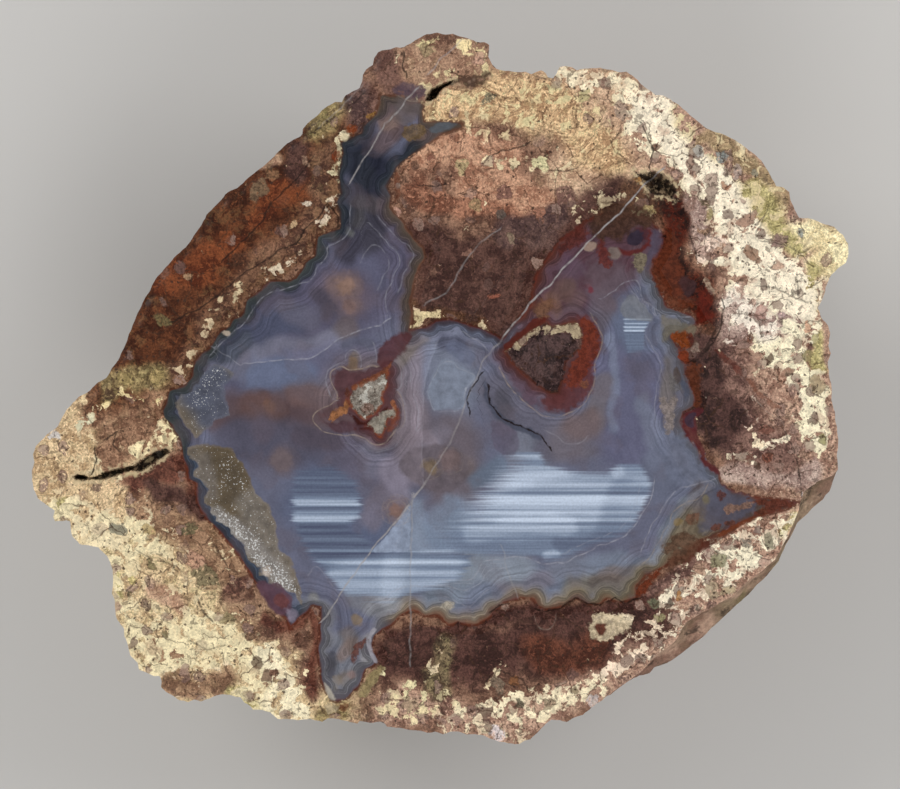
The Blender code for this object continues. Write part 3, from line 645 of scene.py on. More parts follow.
# Bright patches with crisp edges: how much of the rock they take, and their colour
CREAM_BASE = (232, 214, 176, 0.06)
CREAM_STROKES = (
    (((90, 520), (140, 575), (150, 640), (210, 660), (260, 700)), 75, (240, 224, 182, 0.68)),
    (((150, 590), (200, 580), (230, 560)), 40, (230, 210, 170, 0.30)),
    (((45, 470), (80, 415)), 40, (226, 202, 160, 0.30)),
    (((80, 420), (94, 417)), 9, (226, 218, 184, 0.62)),
    (((90, 530), (110, 538)), 24, (244, 226, 186, 0.66)),
    (((72, 492), (108, 494), (138, 500)), 20, (214, 188, 154, 0.28)),
    (((145, 450), (170, 438), (165, 425)), 12, (244, 226, 180, 0.6)),
    (((125, 440), (110, 455)), 20, (220, 190, 150, 0.15)),
    (((180, 470), (190, 500)), 24, (200, 170, 150, 0.0)),
    (((170, 684), (225, 684)), 20, (226, 200, 170, 0.12)),
    (((250, 600), (290, 640), (312, 640)), 26, (230, 206, 160, 0.08)),
    (((265, 655), (285, 680), (300, 715), (275, 700)), 18, (250, 236, 200, 0.68)),
    (((150, 330), (210, 260), (280, 190)), 50, (206, 176, 140, 0.0)),
    (((212, 308), (228, 298), (240, 286)), 13, (206, 186, 150, 0.44)),
    (((264, 275), (276, 268), (294, 256)), 9, (222, 204, 176, 0.48)),
    (((318, 224), (328, 212), (330, 202)), 9, (208, 188, 164, 0.56)),
    (((332, 142), (334, 165), (332, 194)), 5, (206, 192, 156, 0.56)),
    (((180, 372), (192, 346), (205, 326)), 8, (206, 184, 150, 0.5)),
    (((225, 312), (240, 300)), 14, (206, 186, 150, 0.35)),
    (((110, 395), (135, 395), (155, 400)), 12, (236, 214, 160, 0.42)),
    (((440, 95), (500, 85), (560, 100), (600, 130)), 40, (226, 206, 158, 0.34)),
    (((500, 120), (530, 108), (560, 95)), 20, (222, 206, 158, 0.45)),
    (((560, 75), (620, 82), (650, 150)), 18, (250, 234, 200, 0.62)),
    (((420, 150), (470, 150)), 30, (240, 200, 170, 0.05)),
    (((500, 165), (540, 160), (570, 172)), 14, (226, 206, 166, 0.46)),
    (((600, 205), (580, 218), (618, 190)), 9, (214, 196, 160, 0.55)),
    (((480, 45), (460, 42)), 12, (244, 222, 170, 0.6)),
    (((410, 42), (440, 38)), 8, (214, 200, 150, 0.4)),
    (((445, 300), (520, 260), (560, 250)), 50, (190, 160, 140, 0.03)),
    (((418, 316), (415, 326), (440, 317)), 8, (226, 206, 160, 0.7)),
    (((468, 318), (500, 330)), 5, (216, 196, 160, 0.5)),
    (((660, 110), (700, 140), (735, 200), (760, 260), (790, 300)), 50, (255, 241, 214, 0.86)),
    (((680, 100), (700, 130), (740, 165), (800, 240)), 20, (222, 202, 158, 0.42)),
    (((770, 330), (800, 380), (815, 430)), 34, (252, 240, 206, 0.78)),
    (((785, 330), (812, 332)), 14, (250, 238, 206, 0.8)),
    (((712, 262), (726, 262)), 10, (252, 240, 212, 0.85)),
    (((685, 215), (690, 240)), 18, (230, 206, 180, 0.12)),
    (((695, 262), (712, 240)), 12, (236, 210, 190, 0.6)),
    (((640, 205), (648, 212)), 10, (222, 206, 160, 0.6)),
    (((735, 304), (760, 328)), 20, (248, 234, 216, 0.62)),
    (((728, 330), (730, 345)), 14, (236, 220, 204, 0.30)),
    (((720, 380), (735, 420), (770, 400)), 34, (230, 210, 190, 0.05)),
    (((735, 458), (757, 466), (762, 440), (780, 444)), 9, (244, 228, 200, 0.58)),
    (((752, 425), (764, 442), (748, 450)), 5, (236, 216, 184, 0.56)),
    (((740, 482), (800, 480)), 16, (226, 206, 190, 0.10)),
    (((770, 535), (720, 560), (690, 590), (640, 640)), 40, (248, 234, 206, 0.50)),
    (((660, 580), (645, 605)), 12, (226, 200, 180, 0.15)),
    (((600, 675), (640, 650)), 20, (250, 226, 200, 0.55)),
    (((630, 620), (520, 640), (400, 650)), 34, (214, 180, 150, 0.0)),
    (((632, 624), (614, 612), (594, 612)), 7, (240, 222, 190, 0.55)),
    (((400, 700), (420, 690), (440, 705)), 22, (226, 212, 168, 0.42)),
    (((460, 120), (500, 135)), 20, (222, 200, 158, 0.42)),
    (((630, 650), (655, 625)), 16, (236, 214, 186, 0.50)),
    (((772, 526), (745, 555), (715, 575)), 13, (250, 238, 208, 0.66)),
    (((385, 706), (420, 716), (455, 722)), 16, (236, 216, 172, 0.52)),
    (((508, 671), (492, 671), (481, 684)), 6, (226, 206, 170, 0.50)),
    (((460, 722), (500, 705), (550, 700), (590, 690)), 24, (248, 232, 196, 0.58)),
    (((440, 728), (530, 735)), 14, (236, 216, 182, 0.45)),
    (((375, 668), (378, 690)), 9, (236, 226, 180, 0.5)),
    (((432, 640), (425, 665)), 10, (226, 206, 170, 0.4)),
    (((508, 354), (520, 342), (545, 330), (575, 328)), 10, (174, 156, 128, 0.71)),
    (((525, 365), (555, 370)), 22, (150, 130, 110, 0.0)),
    (((384, 378), (362, 400), (380, 425)), 30, (190, 186, 176, 0.35)),
)

# Fragments and stains in the rock: place, size, colour
ROCK_SPOTS = (
    (118, 529, 9, (124, 122, 106)), (190, 530, 9, (98, 92, 66)), (150, 565, 7, (112, 102, 70)),
    (206, 576, 14, (112, 102, 76)), (228, 618, 8, (138, 124, 92)), (165, 634, 5, (116, 104, 74)),
    (133, 581, 6, (196, 180, 120)), (130, 596, 4, (78, 70, 50)), (240, 582, 9, (92, 62, 54)),
    (231, 590, 8, (100, 68, 58)), (196, 560, 11, (184, 142, 118)), (148, 530, 7, (176, 152, 106)),
    (258, 662, 8, (104, 84, 66)), (268, 676, 7, (112, 82, 68)), (250, 636, 6, (104, 78, 62)),
    (116, 608, 6, (170, 140, 120)), (498, 686, 9, (118, 102, 86)), (515, 682, 6, (124, 82, 52)),
    (485, 712, 9, (96, 68, 60)), (520, 703, 6, (64, 60, 46)), (548, 705, 8, (150, 134, 110)),
    (575, 691, 5, (120, 104, 80)), (498, 734, 9, (216, 204, 204)), (594, 700, 7, (186, 174, 170)),
    (410, 703, 10, (164, 140, 116)), (445, 705, 8, (110, 78, 68)), (430, 722, 7, (130, 96, 80)),
    (718, 560, 10, (132, 128, 98)), (746, 543, 7, (122, 112, 100)), (770, 541, 9, (132, 126, 104)),
    (758, 530, 5, (120, 100, 92)), (735, 543, 5, (128, 92, 80)), (712, 589, 9, (164, 146, 120)),
    (728, 591, 7, (176, 158, 126)), (680, 595, 5, (160, 112, 62)), (655, 604, 6, (104, 104, 82)),
    (700, 569, 8, (170, 138, 116)), (765, 562, 7, (176, 142, 126)), (669, 603, 5, (64, 44, 36)),
    (661, 618, 6, (150, 140, 104)), (733, 534, 4, (110, 62, 46)), (462, 166, 8, (176, 158, 118)),
    (488, 98, 9, (112, 108, 88)), (540, 164, 9, (214, 206, 160)), (548, 153, 4, (92, 48, 34)),
    (505, 192, 9, (112, 78, 70)), (565, 194, 11, (114, 82, 74)), (476, 205, 8, (158, 132, 98)),
    (501, 214, 6, (84, 76, 70)), (540, 214, 7, (150, 104, 84)), (620, 112, 9, (158, 136, 120)),
    (432, 156, 5, (120, 78, 64)), (455, 138, 5, (140, 96, 76)), (585, 96, 8, (182, 168, 124)),
    (415, 166, 5, (92, 66, 54)), (440, 181, 5, (96, 54, 40)), (308, 203, 5, (205, 190, 170)),
    (260, 190, 11, (118, 96, 74)), (163, 321, 7, (104, 92, 62)), (295, 225, 4, (190, 160, 124)),
    (272, 176, 6, (130, 96, 70)), (188, 276, 4, (160, 130, 100)), (225, 236, 6, (112, 60, 34)),
    (240, 262, 9, (76, 46, 32)), (125, 378, 9, (142, 124, 82)), (157, 377, 9, (150, 130, 86)),
    (110, 393, 8, (70, 48, 38)), (55, 434, 7, (196, 192, 190)), (655, 145, 5, (112, 76, 62)),
    (690, 163, 7, (136, 104, 90)), (700, 152, 7, (176, 170, 160)), (722, 156, 7, (138, 144, 140)),
    (737, 172, 7, (168, 148, 138)), (725, 186, 6, (164, 118, 92)), (756, 173, 5, (134, 128, 110)),
    (690, 205, 9, (132, 102, 90)), (705, 203, 5, (96, 84, 62)), (709, 214, 5, (138, 124, 82)),
    (746, 221, 9, (150, 110, 92)), (753, 214, 4, (160, 130, 114)), (753, 254, 10, (136, 98, 76)),
    (781, 241, 8, (134, 108, 100)), (779, 265, 6, (186, 150, 128)), (710, 257, 7, (124, 96, 86)),
    (700, 250, 6, (180, 150, 136)), (704, 232, 6, (150, 118, 92)), (801, 232, 5, (140, 146, 144)),
    (749, 339, 6, (110, 70, 54)), (770, 359, 5, (84, 60, 46)), (787, 373, 8, (136, 98, 80)),
    (808, 356, 7, (142, 130, 90)), (818, 384, 11, (158, 138, 108)), (817, 340, 6, (160, 150, 104)),
    (810, 326, 6, (196, 148, 120)), (822, 440, 6, (140, 134, 90)), (760, 312, 8, (178, 140, 128)),
    (780, 316, 6, (170, 144, 140)), (748, 461, 6, (104, 64, 54)), (766, 456, 6, (112, 64, 48)),
    (768, 430, 7, (116, 76, 64)), (757, 467, 4, (70, 46, 36)), (695, 348, 5, (132, 112, 100)),
    (708, 330, 8, (88, 58, 44)), (706, 298, 5, (120, 56, 34)), (648, 210, 7, (170, 150, 106)),
    (655, 185, 8, (70, 46, 28)), (640, 182, 6, (150, 106, 52)), (397, 213, 7, (178, 138, 122)),
    (352, 130, 5, (130, 66, 36)), (336, 157, 4, (118, 54, 30)), (345, 137, 6, (240, 226, 190)),
    (400, 95, 5, (150, 100, 56)), (372, 115, 5, (140, 102, 50)), (478, 60, 7, (190, 150, 130)),
    (428, 50, 9, (156, 136, 104)), (322, 112, 7, (128, 116, 76)), (306, 160, 5, (150, 120, 100)),
    (432, 272, 5, (120, 88, 74)), (470, 255, 5, (130, 96, 82)), (493, 296, 5, (140, 84, 66)),
    (512, 238, 6, (134, 116, 96)),
)

# How the agate's colour changes with the distance from the nearest rock, in pixels
WALL_STOPS = (0.0, 4.0, 9.0, 15.0, 24.0, 36.0)
WALL_KINDS = {
    "teal": ((74, 40, 28), (58, 62, 62), (58, 62, 66), (40, 42, 54), (50, 49, 64), (78, 74, 92)),
    "neck_left": ((58, 42, 38), (52, 56, 62), (46, 50, 60), (40, 42, 54), (46, 45, 56),
        (56, 54, 64)),
    "neck_right": ((92, 60, 46), (84, 72, 64), (80, 70, 68), (76, 66, 74), (82, 76, 92),
        (90, 90, 112)),
    "arch": ((72, 34, 28), (66, 58, 66), (90, 94, 110), (106, 108, 126), (112, 116, 134),
        (118, 123, 140)),
    "bottom_mid": ((92, 48, 34), (108, 84, 70), (132, 120, 106), (116, 112, 112), (118, 126, 142),
        (118, 126, 144)),
    "bottom_right": ((88, 46, 32), (102, 84, 68), (112, 102, 86), (112, 106, 98), (110, 116, 128),
        (112, 122, 140)),
    "tail": ((92, 46, 34), (84, 62, 54), (84, 74, 70), (98, 94, 96), (104, 106, 118),
        (104, 108, 126)),
    "right": ((86, 44, 36), (86, 82, 86), (94, 96, 106), (104, 108, 122), (106, 109, 128),
        (98, 98, 121)),
    "tongue": ((86, 40, 30), (84, 48, 42), (82, 56, 58), (82, 60, 68), (84, 64, 76), (86, 70, 84)),
    "big_island": ((84, 44, 34), (86, 52, 50), (86, 62, 68), (90, 76, 86), (96, 90, 102),
        (98, 94, 108)),
    "small_island": ((128, 62, 34), (88, 56, 56), (92, 72, 78), (104, 94, 98), (104, 96, 104),
        (98, 90, 102)),
    "left_wall": ((92, 44, 30), (58, 58, 66), (62, 70, 84), (76, 84, 100), (102, 106, 122),
        (98, 104, 124)),
    "leg": ((80, 40, 30), (88, 86, 94), (100, 99, 104), (108, 108, 112), (114, 116, 126),
        (116, 122, 136)),
}
WALL_ZONES = (
    ("teal", ((330, 231), (300, 275), (250, 300), (210, 347), (180, 388), (170, 420), (182, 450))),
    ("neck_left", ((343, 141), (337, 180), (340, 225))),
    ("neck_left", ((402, 162), (388, 185), (350, 136))),
    ("neck_right", ((391, 207), (413, 238), (425, 258), (410, 301), (411, 330))),
    ("neck_right", ((380, 94), (405, 99), (440, 128))),
    ("arch", ((411, 330), (436, 321), (467, 324), (502, 338))),
    ("tongue", ((530, 304), (541, 268), (585, 221), (648, 216), (660, 250))),
    ("right", ((657, 284), (690, 320), (682, 350), (694, 400), (690, 440), (706, 464),
        (722, 485))),
    ("tail", ((740, 493), (800, 502), (740, 524))),
    ("bottom_right", ((700, 540), (667, 565), (637, 597), (576, 602))),
    ("bottom_mid", ((556, 608), (515, 600), (475, 625), (437, 616), (410, 612))),
    ("leg", ((375, 640), (362, 682), (336, 702), (320, 650), (320, 607))),
    ("left_wall", ((290, 620), (264, 593), (227, 541), (198, 504), (185, 460))),
    ("big_island", ((508, 355), (545, 330), (578, 335), (556, 390))),
    ("small_island", ((385, 378), (360, 390), (355, 405), (378, 430))),
)

# The agate further in, each stroke over the ones before it: line, reach, colour, strength
AGATE_BASE = (100, 102, 121)
AGATE_STROKES = (
    (((230, 350), (300, 320), (370, 280), (385, 250)), 60, (88, 85, 104), 1.0),
    (((365, 268),), 32, (90, 90, 110), 0.9),
    (((368, 190), (366, 235)), 26, (64, 62, 73), 1.0),
    (((356, 150), (372, 170), (376, 190)), 26, (40, 42, 54), 1.0),
    (((384, 105), (386, 120)), 20, (124, 102, 94), 1.0),
    (((384, 136), (378, 142)), 14, (94, 80, 84), 0.9),
    (((425, 130), (460, 125)), 10, (104, 104, 98), 1.0),
    (((205, 375), (240, 345), (290, 318)), 26, (76, 80, 100), 0.9),
    (((215, 366), (260, 360), (300, 352), (340, 340)), 18, (116, 116, 132), 0.8),
    (((344, 292),), 34, (98, 86, 98), 0.8),
    (((344, 286),), 20, (122, 100, 96), 0.9),
    (((345, 285),), 9, (142, 114, 98), 0.8),
    (((349, 306),), 12, (118, 96, 94), 0.8),
    (((346, 327),), 16, (104, 92, 92), 0.7),
    (((260, 378), (320, 362), (370, 346)), 20, (98, 98, 120), 0.9),
    (((232, 412), (300, 418), (335, 420)), 30, (90, 74, 78), 1.0),
    (((250, 408), (272, 410)), 22, (98, 76, 74), 0.9),
    (((268, 408),), 9, (118, 88, 74), 0.7),
    (((300, 395), (330, 400)), 18, (108, 86, 84), 0.8),
    (((240, 440), (330, 450)), 32, (83, 81, 96), 0.9),
    (((282, 460),), 20, (104, 92, 98), 0.8),
    (((260, 430),), 16, (92, 84, 96), 0.7),
    (((365, 400), (385, 420)), 66, (108, 94, 98), 0.85),
    (((352, 358),), 10, (106, 94, 86), 0.8),
    (((350, 445), (400, 475)), 34, (94, 90, 106), 0.9),
    (((320, 500), (350, 540), (380, 570)), 50, (90, 98, 122), 0.9),
    (((412, 350), (411, 400), (412, 470)), 21, (124, 115, 124), 0.8),
    (((410, 500), (412, 560)), 16, (108, 112, 130), 0.7),
    (((452, 345), (455, 390)), 36, (116, 121, 138), 1.0),
    (((450, 440), (452, 480)), 40, (104, 96, 104), 0.95),
    (((457, 463),), 18, (110, 98, 98), 0.8),
    (((433, 469),), 9, (116, 98, 84), 0.7),
    (((397, 510),), 14, (114, 100, 102), 0.8),
    (((500, 395), (545, 440)), 34, (98, 96, 110), 0.95),
    (((600, 430), (570, 440)), 28, (107, 101, 110), 0.9),
    (((612, 360), (640, 400), (630, 440)), 48, (98, 98, 121), 1.0),
    (((598, 420), (598, 380)), 16, (112, 104, 108), 0.7),
    (((625, 300), (640, 330)), 30, (98, 106, 128), 0.9),
    (((560, 300), (590, 260), (640, 235)), 52, (84, 60, 68), 1.0),
    (((563, 292),), 13, (98, 76, 72), 0.7),
    (((590, 290),), 5, (104, 48, 54), 0.8),
    (((598, 340), (604, 300)), 12, (92, 84, 92), 0.7),
    (((598, 578), (590, 583)), 11, (150, 128, 108), 0.7),
    (((660, 480), (700, 500)), 40, (100, 104, 122), 0.9),
    (((730, 505), (790, 503)), 22, (100, 82, 74), 1.0),
    (((450, 592), (560, 580), (640, 570)), 26, (114, 122, 140), 0.8),
    (((470, 560), (440, 600)), 24, (118, 127, 140), 0.8),
    (((505, 580), (545, 580)), 14, (118, 112, 124), 0.7),
    (((570, 588), (620, 588)), 14, (116, 108, 96), 0.8),
    (((345, 640), (345, 680)), 20, (120, 122, 130), 0.8),
    (((370, 640), (370, 665)), 10, (176, 170, 170), 0.8),
    (((370, 680),), 14, (140, 126, 96), 0.8),
    (((340, 655), (352, 640)), 9, (130, 92, 70), 0.35),
    (((328, 692),), 9, (176, 160, 134), 0.8),
    (((340, 704),), 8, (130, 60, 40), 0.8),
    (((330, 665),), 8, (70, 68, 74), 0.8),
    (((394, 601), (410, 598)), 9, (146, 136, 124), 0.9),
    (((448, 607),), 7, (190, 170, 140), 0.8),
    (((312, 594),), 8, (150, 148, 140), 0.7),
    (((668, 365), (672, 400), (680, 420)), 9, (134, 124, 112), 0.7),
    (((676, 440), (700, 480)), 12, (112, 110, 116), 0.7),
    (((645, 400), (655, 440)), 12, (118, 124, 140), 0.6),
    (((250, 376), (300, 372)), 20, (100, 108, 132), 0.9),
    (((300, 438), (335, 440)), 14, (80, 72, 82), 0.7),
    (((288, 306), (310, 318)), 18, (98, 96, 112), 0.8),
    (((322, 294), (330, 312)), 12, (74, 69, 80), 0.8),
    (((350, 222), (356, 205)), 14, (76, 74, 77), 0.8),
    (((372, 202),), 12, (76, 70, 73), 0.8),
    (((357, 162), (362, 180)), 15, (46, 49, 58), 0.9),
    (((385, 106), (384, 118)), 16, (118, 99, 93), 1.0),
    (((400, 128), (392, 134)), 10, (84, 70, 72), 0.8),
    (((422, 550), (460, 512)), 28, (120, 132, 152), 1.0),
    (((380, 468), (372, 450)), 20, (112, 110, 126), 0.8),
    (((440, 432), (430, 446)), 14, (122, 117, 130), 0.7),
    (((393, 474), (400, 498)), 18, (132, 125, 140), 0.85),
    (((470, 572), (520, 566)), 20, (130, 138, 150), 0.9),
    (((600, 586), (630, 586)), 13, (92, 84, 80), 0.8),
    (((393, 598), (372, 600)), 18, (152, 154, 160), 0.9),
    (((478, 474), (502, 462)), 16, (100, 112, 130), 0.8),
    (((530, 440), (520, 452)), 14, (114, 118, 132), 0.8),
    (((590, 420), (572, 426)), 18, (112, 96, 97), 0.8),
    (((640, 366),), 18, (88, 88, 107), 0.8),
    (((660, 456), (668, 440)), 16, (110, 115, 134), 0.8),
    (((690, 516), (720, 498), (705, 496)), 18, (86, 73, 71), 0.8),
    (((730, 505), (748, 500)), 12, (84, 74, 78), 0.8),
    (((345, 682), (360, 675)), 12, (122, 109, 101), 0.8),
    (((548, 300), (552, 312)), 10, (122, 92, 78), 0.7),
    (((562, 320), (580, 304)), 12, (106, 86, 88), 0.7),
    (((602, 306), (598, 296)), 14, (104, 92, 102), 0.7),
    (((558, 262), (572, 272)), 14, (90, 70, 86), 0.7),
    (((615, 275), (606, 282)), 10, (96, 84, 96), 0.7),
    (((560, 572), (620, 562)), 18, (118, 126, 142), 0.7),
    (((226, 352), (240, 344)), 14, (74, 78, 90), 0.9),
    (((345, 250), (352, 236)), 16, (62, 60, 72), 0.9),
    (((446, 338), (462, 342)), 14, (88, 90, 108), 0.9),
    (((502, 398), (508, 410)), 14, (82, 80, 90), 0.8),
    (((430, 446), (424, 436)), 10, (132, 122, 132), 0.8),
    (((380, 200), (384, 192)), 10, (92, 82, 84), 0.9),
    (((640, 300), (632, 296)), 12, (92, 92, 106), 0.7),
    (((350, 640), (346, 630)), 12, (100, 86, 80), 0.5),
    (((398, 368), (410, 354), (422, 340)), 9, (122, 112, 104), 0.7),
    (((612, 578), (632, 574)), 12, (110, 98, 94), 0.7),
    (((416, 512), (418, 545)), 14, (128, 138, 156), 0.8),
    (((384, 500), (372, 520)), 14, (114, 108, 122), 0.8),
    (((418, 146), (430, 140)), 13, (110, 86, 60), 0.9),
    (((345, 226), (350, 232)), 6, (128, 130, 124), 0.7),
    (((350, 600), (380, 608)), 12, (118, 118, 124), 0.7),
    (((613, 335), (610, 370), (614, 400), (617, 430)), 7, (124, 132, 152), 0.6),
    (((655, 560), (668, 530), (684, 506), (706, 492)), 8, (128, 136, 146), 0.6),
    (((672, 545), (694, 526), (716, 510)), 12, (92, 84, 84), 0.7),
)

# The coarse quartz: its colour, and where its facets sparkle
QUARTZ_BASE = (108, 98, 86)
QUARTZ_STROKES = (
    (((225, 455), (232, 480), (228, 500)), 30, (92, 80, 62), 1.0),
    (((205, 460), (210, 490)), 14, (112, 104, 96), 0.8),
    (((250, 500), (262, 530), (270, 555)), 20, (118, 110, 100), 0.9),
    (((215, 515), (250, 548), (285, 585)), 14, (138, 132, 126), 0.9),
    (((200, 395), (215, 380), (215, 405)), 30, (84, 87, 100), 1.0),
    (((265, 575),), 7, (186, 172, 160), 0.9),
)
SPARKLES = (
    (((214, 514), (232, 528), (250, 543)), 11, 0.9, 1.0),
    (((252, 560), (272, 574), (293, 594)), 12, 1.0, 1.0),
    (((225, 465), (240, 480)), 10, 0.35, 1.0),
    (((196, 400), (205, 385), (222, 372)), 9, 0.42, 1.0),
)

# Where the level bands are whiter or darker than elsewhere at their height
LEVEL_LIGHTS = (
    (((345, 585), (395, 578), (440, 568)), 34, 0.24, 1.0),
    (((392, 585), (398, 570)), 18, 0.34, 1.0),
    (((490, 478), (520, 466), (560, 464)), 24, 0.17, 1.0),
    (((470, 532), (520, 528), (565, 526)), 16, 0.16, 1.0),
    (((555, 553), (545, 555)), 8, 0.26, 1.0),
    (((560, 543), (600, 538)), 10, -0.14, 1.0),
    (((620, 490), (612, 530)), 22, -0.14, 1.0),
    (((612, 466),), 12, 0.14, 1.0),
    (((640, 490), (632, 520)), 14, -0.12, 1.0),
)

# Panes, which are shapes with plain edges: softness of the edge, colour, how plain, corners
PANES = (
    (4.0, (90, 50, 50), 0.9, ((540, 398), (556, 396), (566, 384), (574, 366), (584, 340),
        (577, 322), (578, 314), (592, 318), (602, 334), (600, 354), (593, 368), (595, 386),
        (585, 402), (570, 412), (552, 412), (540, 406))),
    (4.0, (92, 72, 84), 0.8, ((512, 372), (522, 384), (540, 398), (548, 412), (530, 406),
        (516, 390), (508, 376))),
    (2.0, (62, 67, 82), 0.7, ((483, 378), (488, 384), (490, 400), (497, 412), (512, 421),
        (530, 428), (545, 437), (540, 441), (520, 432), (505, 426), (493, 416), (485, 402))),
    (1.5, (116, 118, 124), 0.75, ((631, 293), (640, 300), (648, 310), (654, 319), (650, 322),
        (622, 318), (620, 304))),
    (4.0, (84, 56, 58), 0.6, ((329, 372), (350, 366), (372, 372), (392, 362), (394, 370),
        (398, 400), (399, 420), (386, 440), (368, 436), (350, 424), (322, 420), (316, 414),
        (340, 396), (332, 384))),
    (2.0, (82, 46, 48), 0.85, ((377, 366), (376, 354), (381, 346), (392, 338), (402, 332),
        (410, 333), (414, 338), (406, 348), (400, 354), (395, 361), (390, 366), (383, 371))),
    (4.0, (84, 86, 100), 0.6, ((338, 350), (345, 342), (356, 336), (370, 335), (378, 342),
        (372, 350), (360, 346), (348, 348))),
    (1.5, (92, 34, 28), 0.8, ((617, 246), (624, 252), (640, 248), (650, 240), (646, 226),
        (654, 232), (652, 244), (640, 254), (624, 257))),
    (2.5, (60, 43, 36), 0.5, ((588, 224), (600, 212), (616, 206), (634, 204), (652, 210),
        (656, 222), (648, 226), (634, 229), (626, 236), (621, 246), (613, 240), (606, 238),
        (600, 240), (594, 236))),
    (2.5, (84, 76, 92), 0.8, ((650, 236), (656, 228), (662, 233), (661, 248), (655, 257),
        (650, 264), (649, 274), (646, 262), (648, 248))),
    (1.2, (84, 38, 42), 0.85, ((690, 409), (700, 407), (704, 410), (700, 415), (696, 421),
        (696, 430), (699, 441), (705, 447), (705, 459), (712, 464), (719, 470), (720, 477),
        (716, 473), (706, 468), (700, 461), (699, 451), (694, 443), (687, 438), (682, 430),
        (681, 421), (684, 413))),
    (9.0, (100, 86, 93), 0.6, ((588, 262), (606, 256), (622, 262), (632, 276), (622, 292),
        (602, 300), (586, 288))),
    (8.0, (103, 108, 126), 0.8, ((672, 430), (684, 436), (696, 455), (712, 476), (700, 482),
        (684, 484), (668, 486), (660, 470), (664, 450))),
    (1.0, (50, 42, 54), 0.95, ((625, 241), (628, 233), (642, 229), (645, 236), (640, 245),
        (630, 246))),
    (2.0, (70, 36, 40), 0.8, ((628, 232), (644, 225), (650, 232), (646, 244), (640, 230))),
    (1.0, (146, 124, 112), 0.9, ((584, 246), (589, 242), (597, 243), (594, 250), (586, 251))),
    (1.2, (116, 102, 96), 0.9, ((609, 246), (621, 250), (619, 259), (608, 259))),
    (4.0, (104, 70, 56), 0.8, ((536, 316), (534, 304), (545, 298), (556, 302), (552, 312))),
    (1.5, (90, 65, 76), 0.9, ((256, 584), (262, 580), (268, 585), (274, 582), (282, 586),
        (287, 591), (291, 597), (293, 606), (288, 614), (280, 616), (270, 608), (262, 598))),
    (5.0, (90, 84, 90), 0.5, ((664, 352), (680, 346), (688, 372), (684, 400), (678, 412),
        (680, 436), (668, 432), (660, 400))),
    (2.0, (72, 76, 92), 0.7, ((672, 366), (678, 366), (682, 374), (688, 384), (690, 396),
        (686, 404), (682, 396), (678, 384), (672, 376))),
    (3.0, (112, 104, 88), 0.7, ((660, 312), (682, 322), (700, 330), (690, 338), (672, 332),
        (664, 345))),
    (4.0, (82, 84, 102), 0.6, ((716, 482), (735, 493), (750, 497), (758, 504), (752, 512),
        (740, 520), (715, 530), (700, 536), (702, 520), (706, 500))),
    (1.5, (76, 36, 26), 0.85, ((660, 568), (672, 560), (690, 553), (694, 545), (712, 538),
        (736, 521), (740, 526), (716, 542), (698, 552), (692, 560), (672, 567))),
    (1.0, (158, 154, 162), 0.8, ((374, 627), (367, 635), (365, 642), (369, 652), (375, 664),
        (380, 664), (374, 652), (370, 642), (372, 635), (378, 630))),
    (1.2, (176, 168, 154), 0.75, ((322, 682), (326, 684), (338, 700), (330, 702))),
    (3.0, (98, 88, 88), 0.7, ((396, 98), (410, 92), (422, 104), (418, 120), (404, 126),
        (394, 120))),
    (2.0, (82, 70, 82), 0.7, ((393, 87), (402, 83), (414, 84), (424, 86), (430, 90), (424, 98),
        (412, 100), (402, 96), (395, 94))),
    (1.5, (86, 94, 102), 0.7, ((426, 128), (440, 122), (460, 122), (450, 128), (434, 134))),
    (2.0, (60, 58, 66), 0.7, ((326, 652), (334, 650), (336, 678), (328, 680))),
    (2.0, (97, 88, 94), 0.75, ((398, 468), (402, 457), (412, 449), (424, 446), (438, 443),
        (452, 445), (464, 452), (471, 464), (469, 476), (460, 487), (446, 493), (432, 492),
        (420, 484), (406, 478))),
)
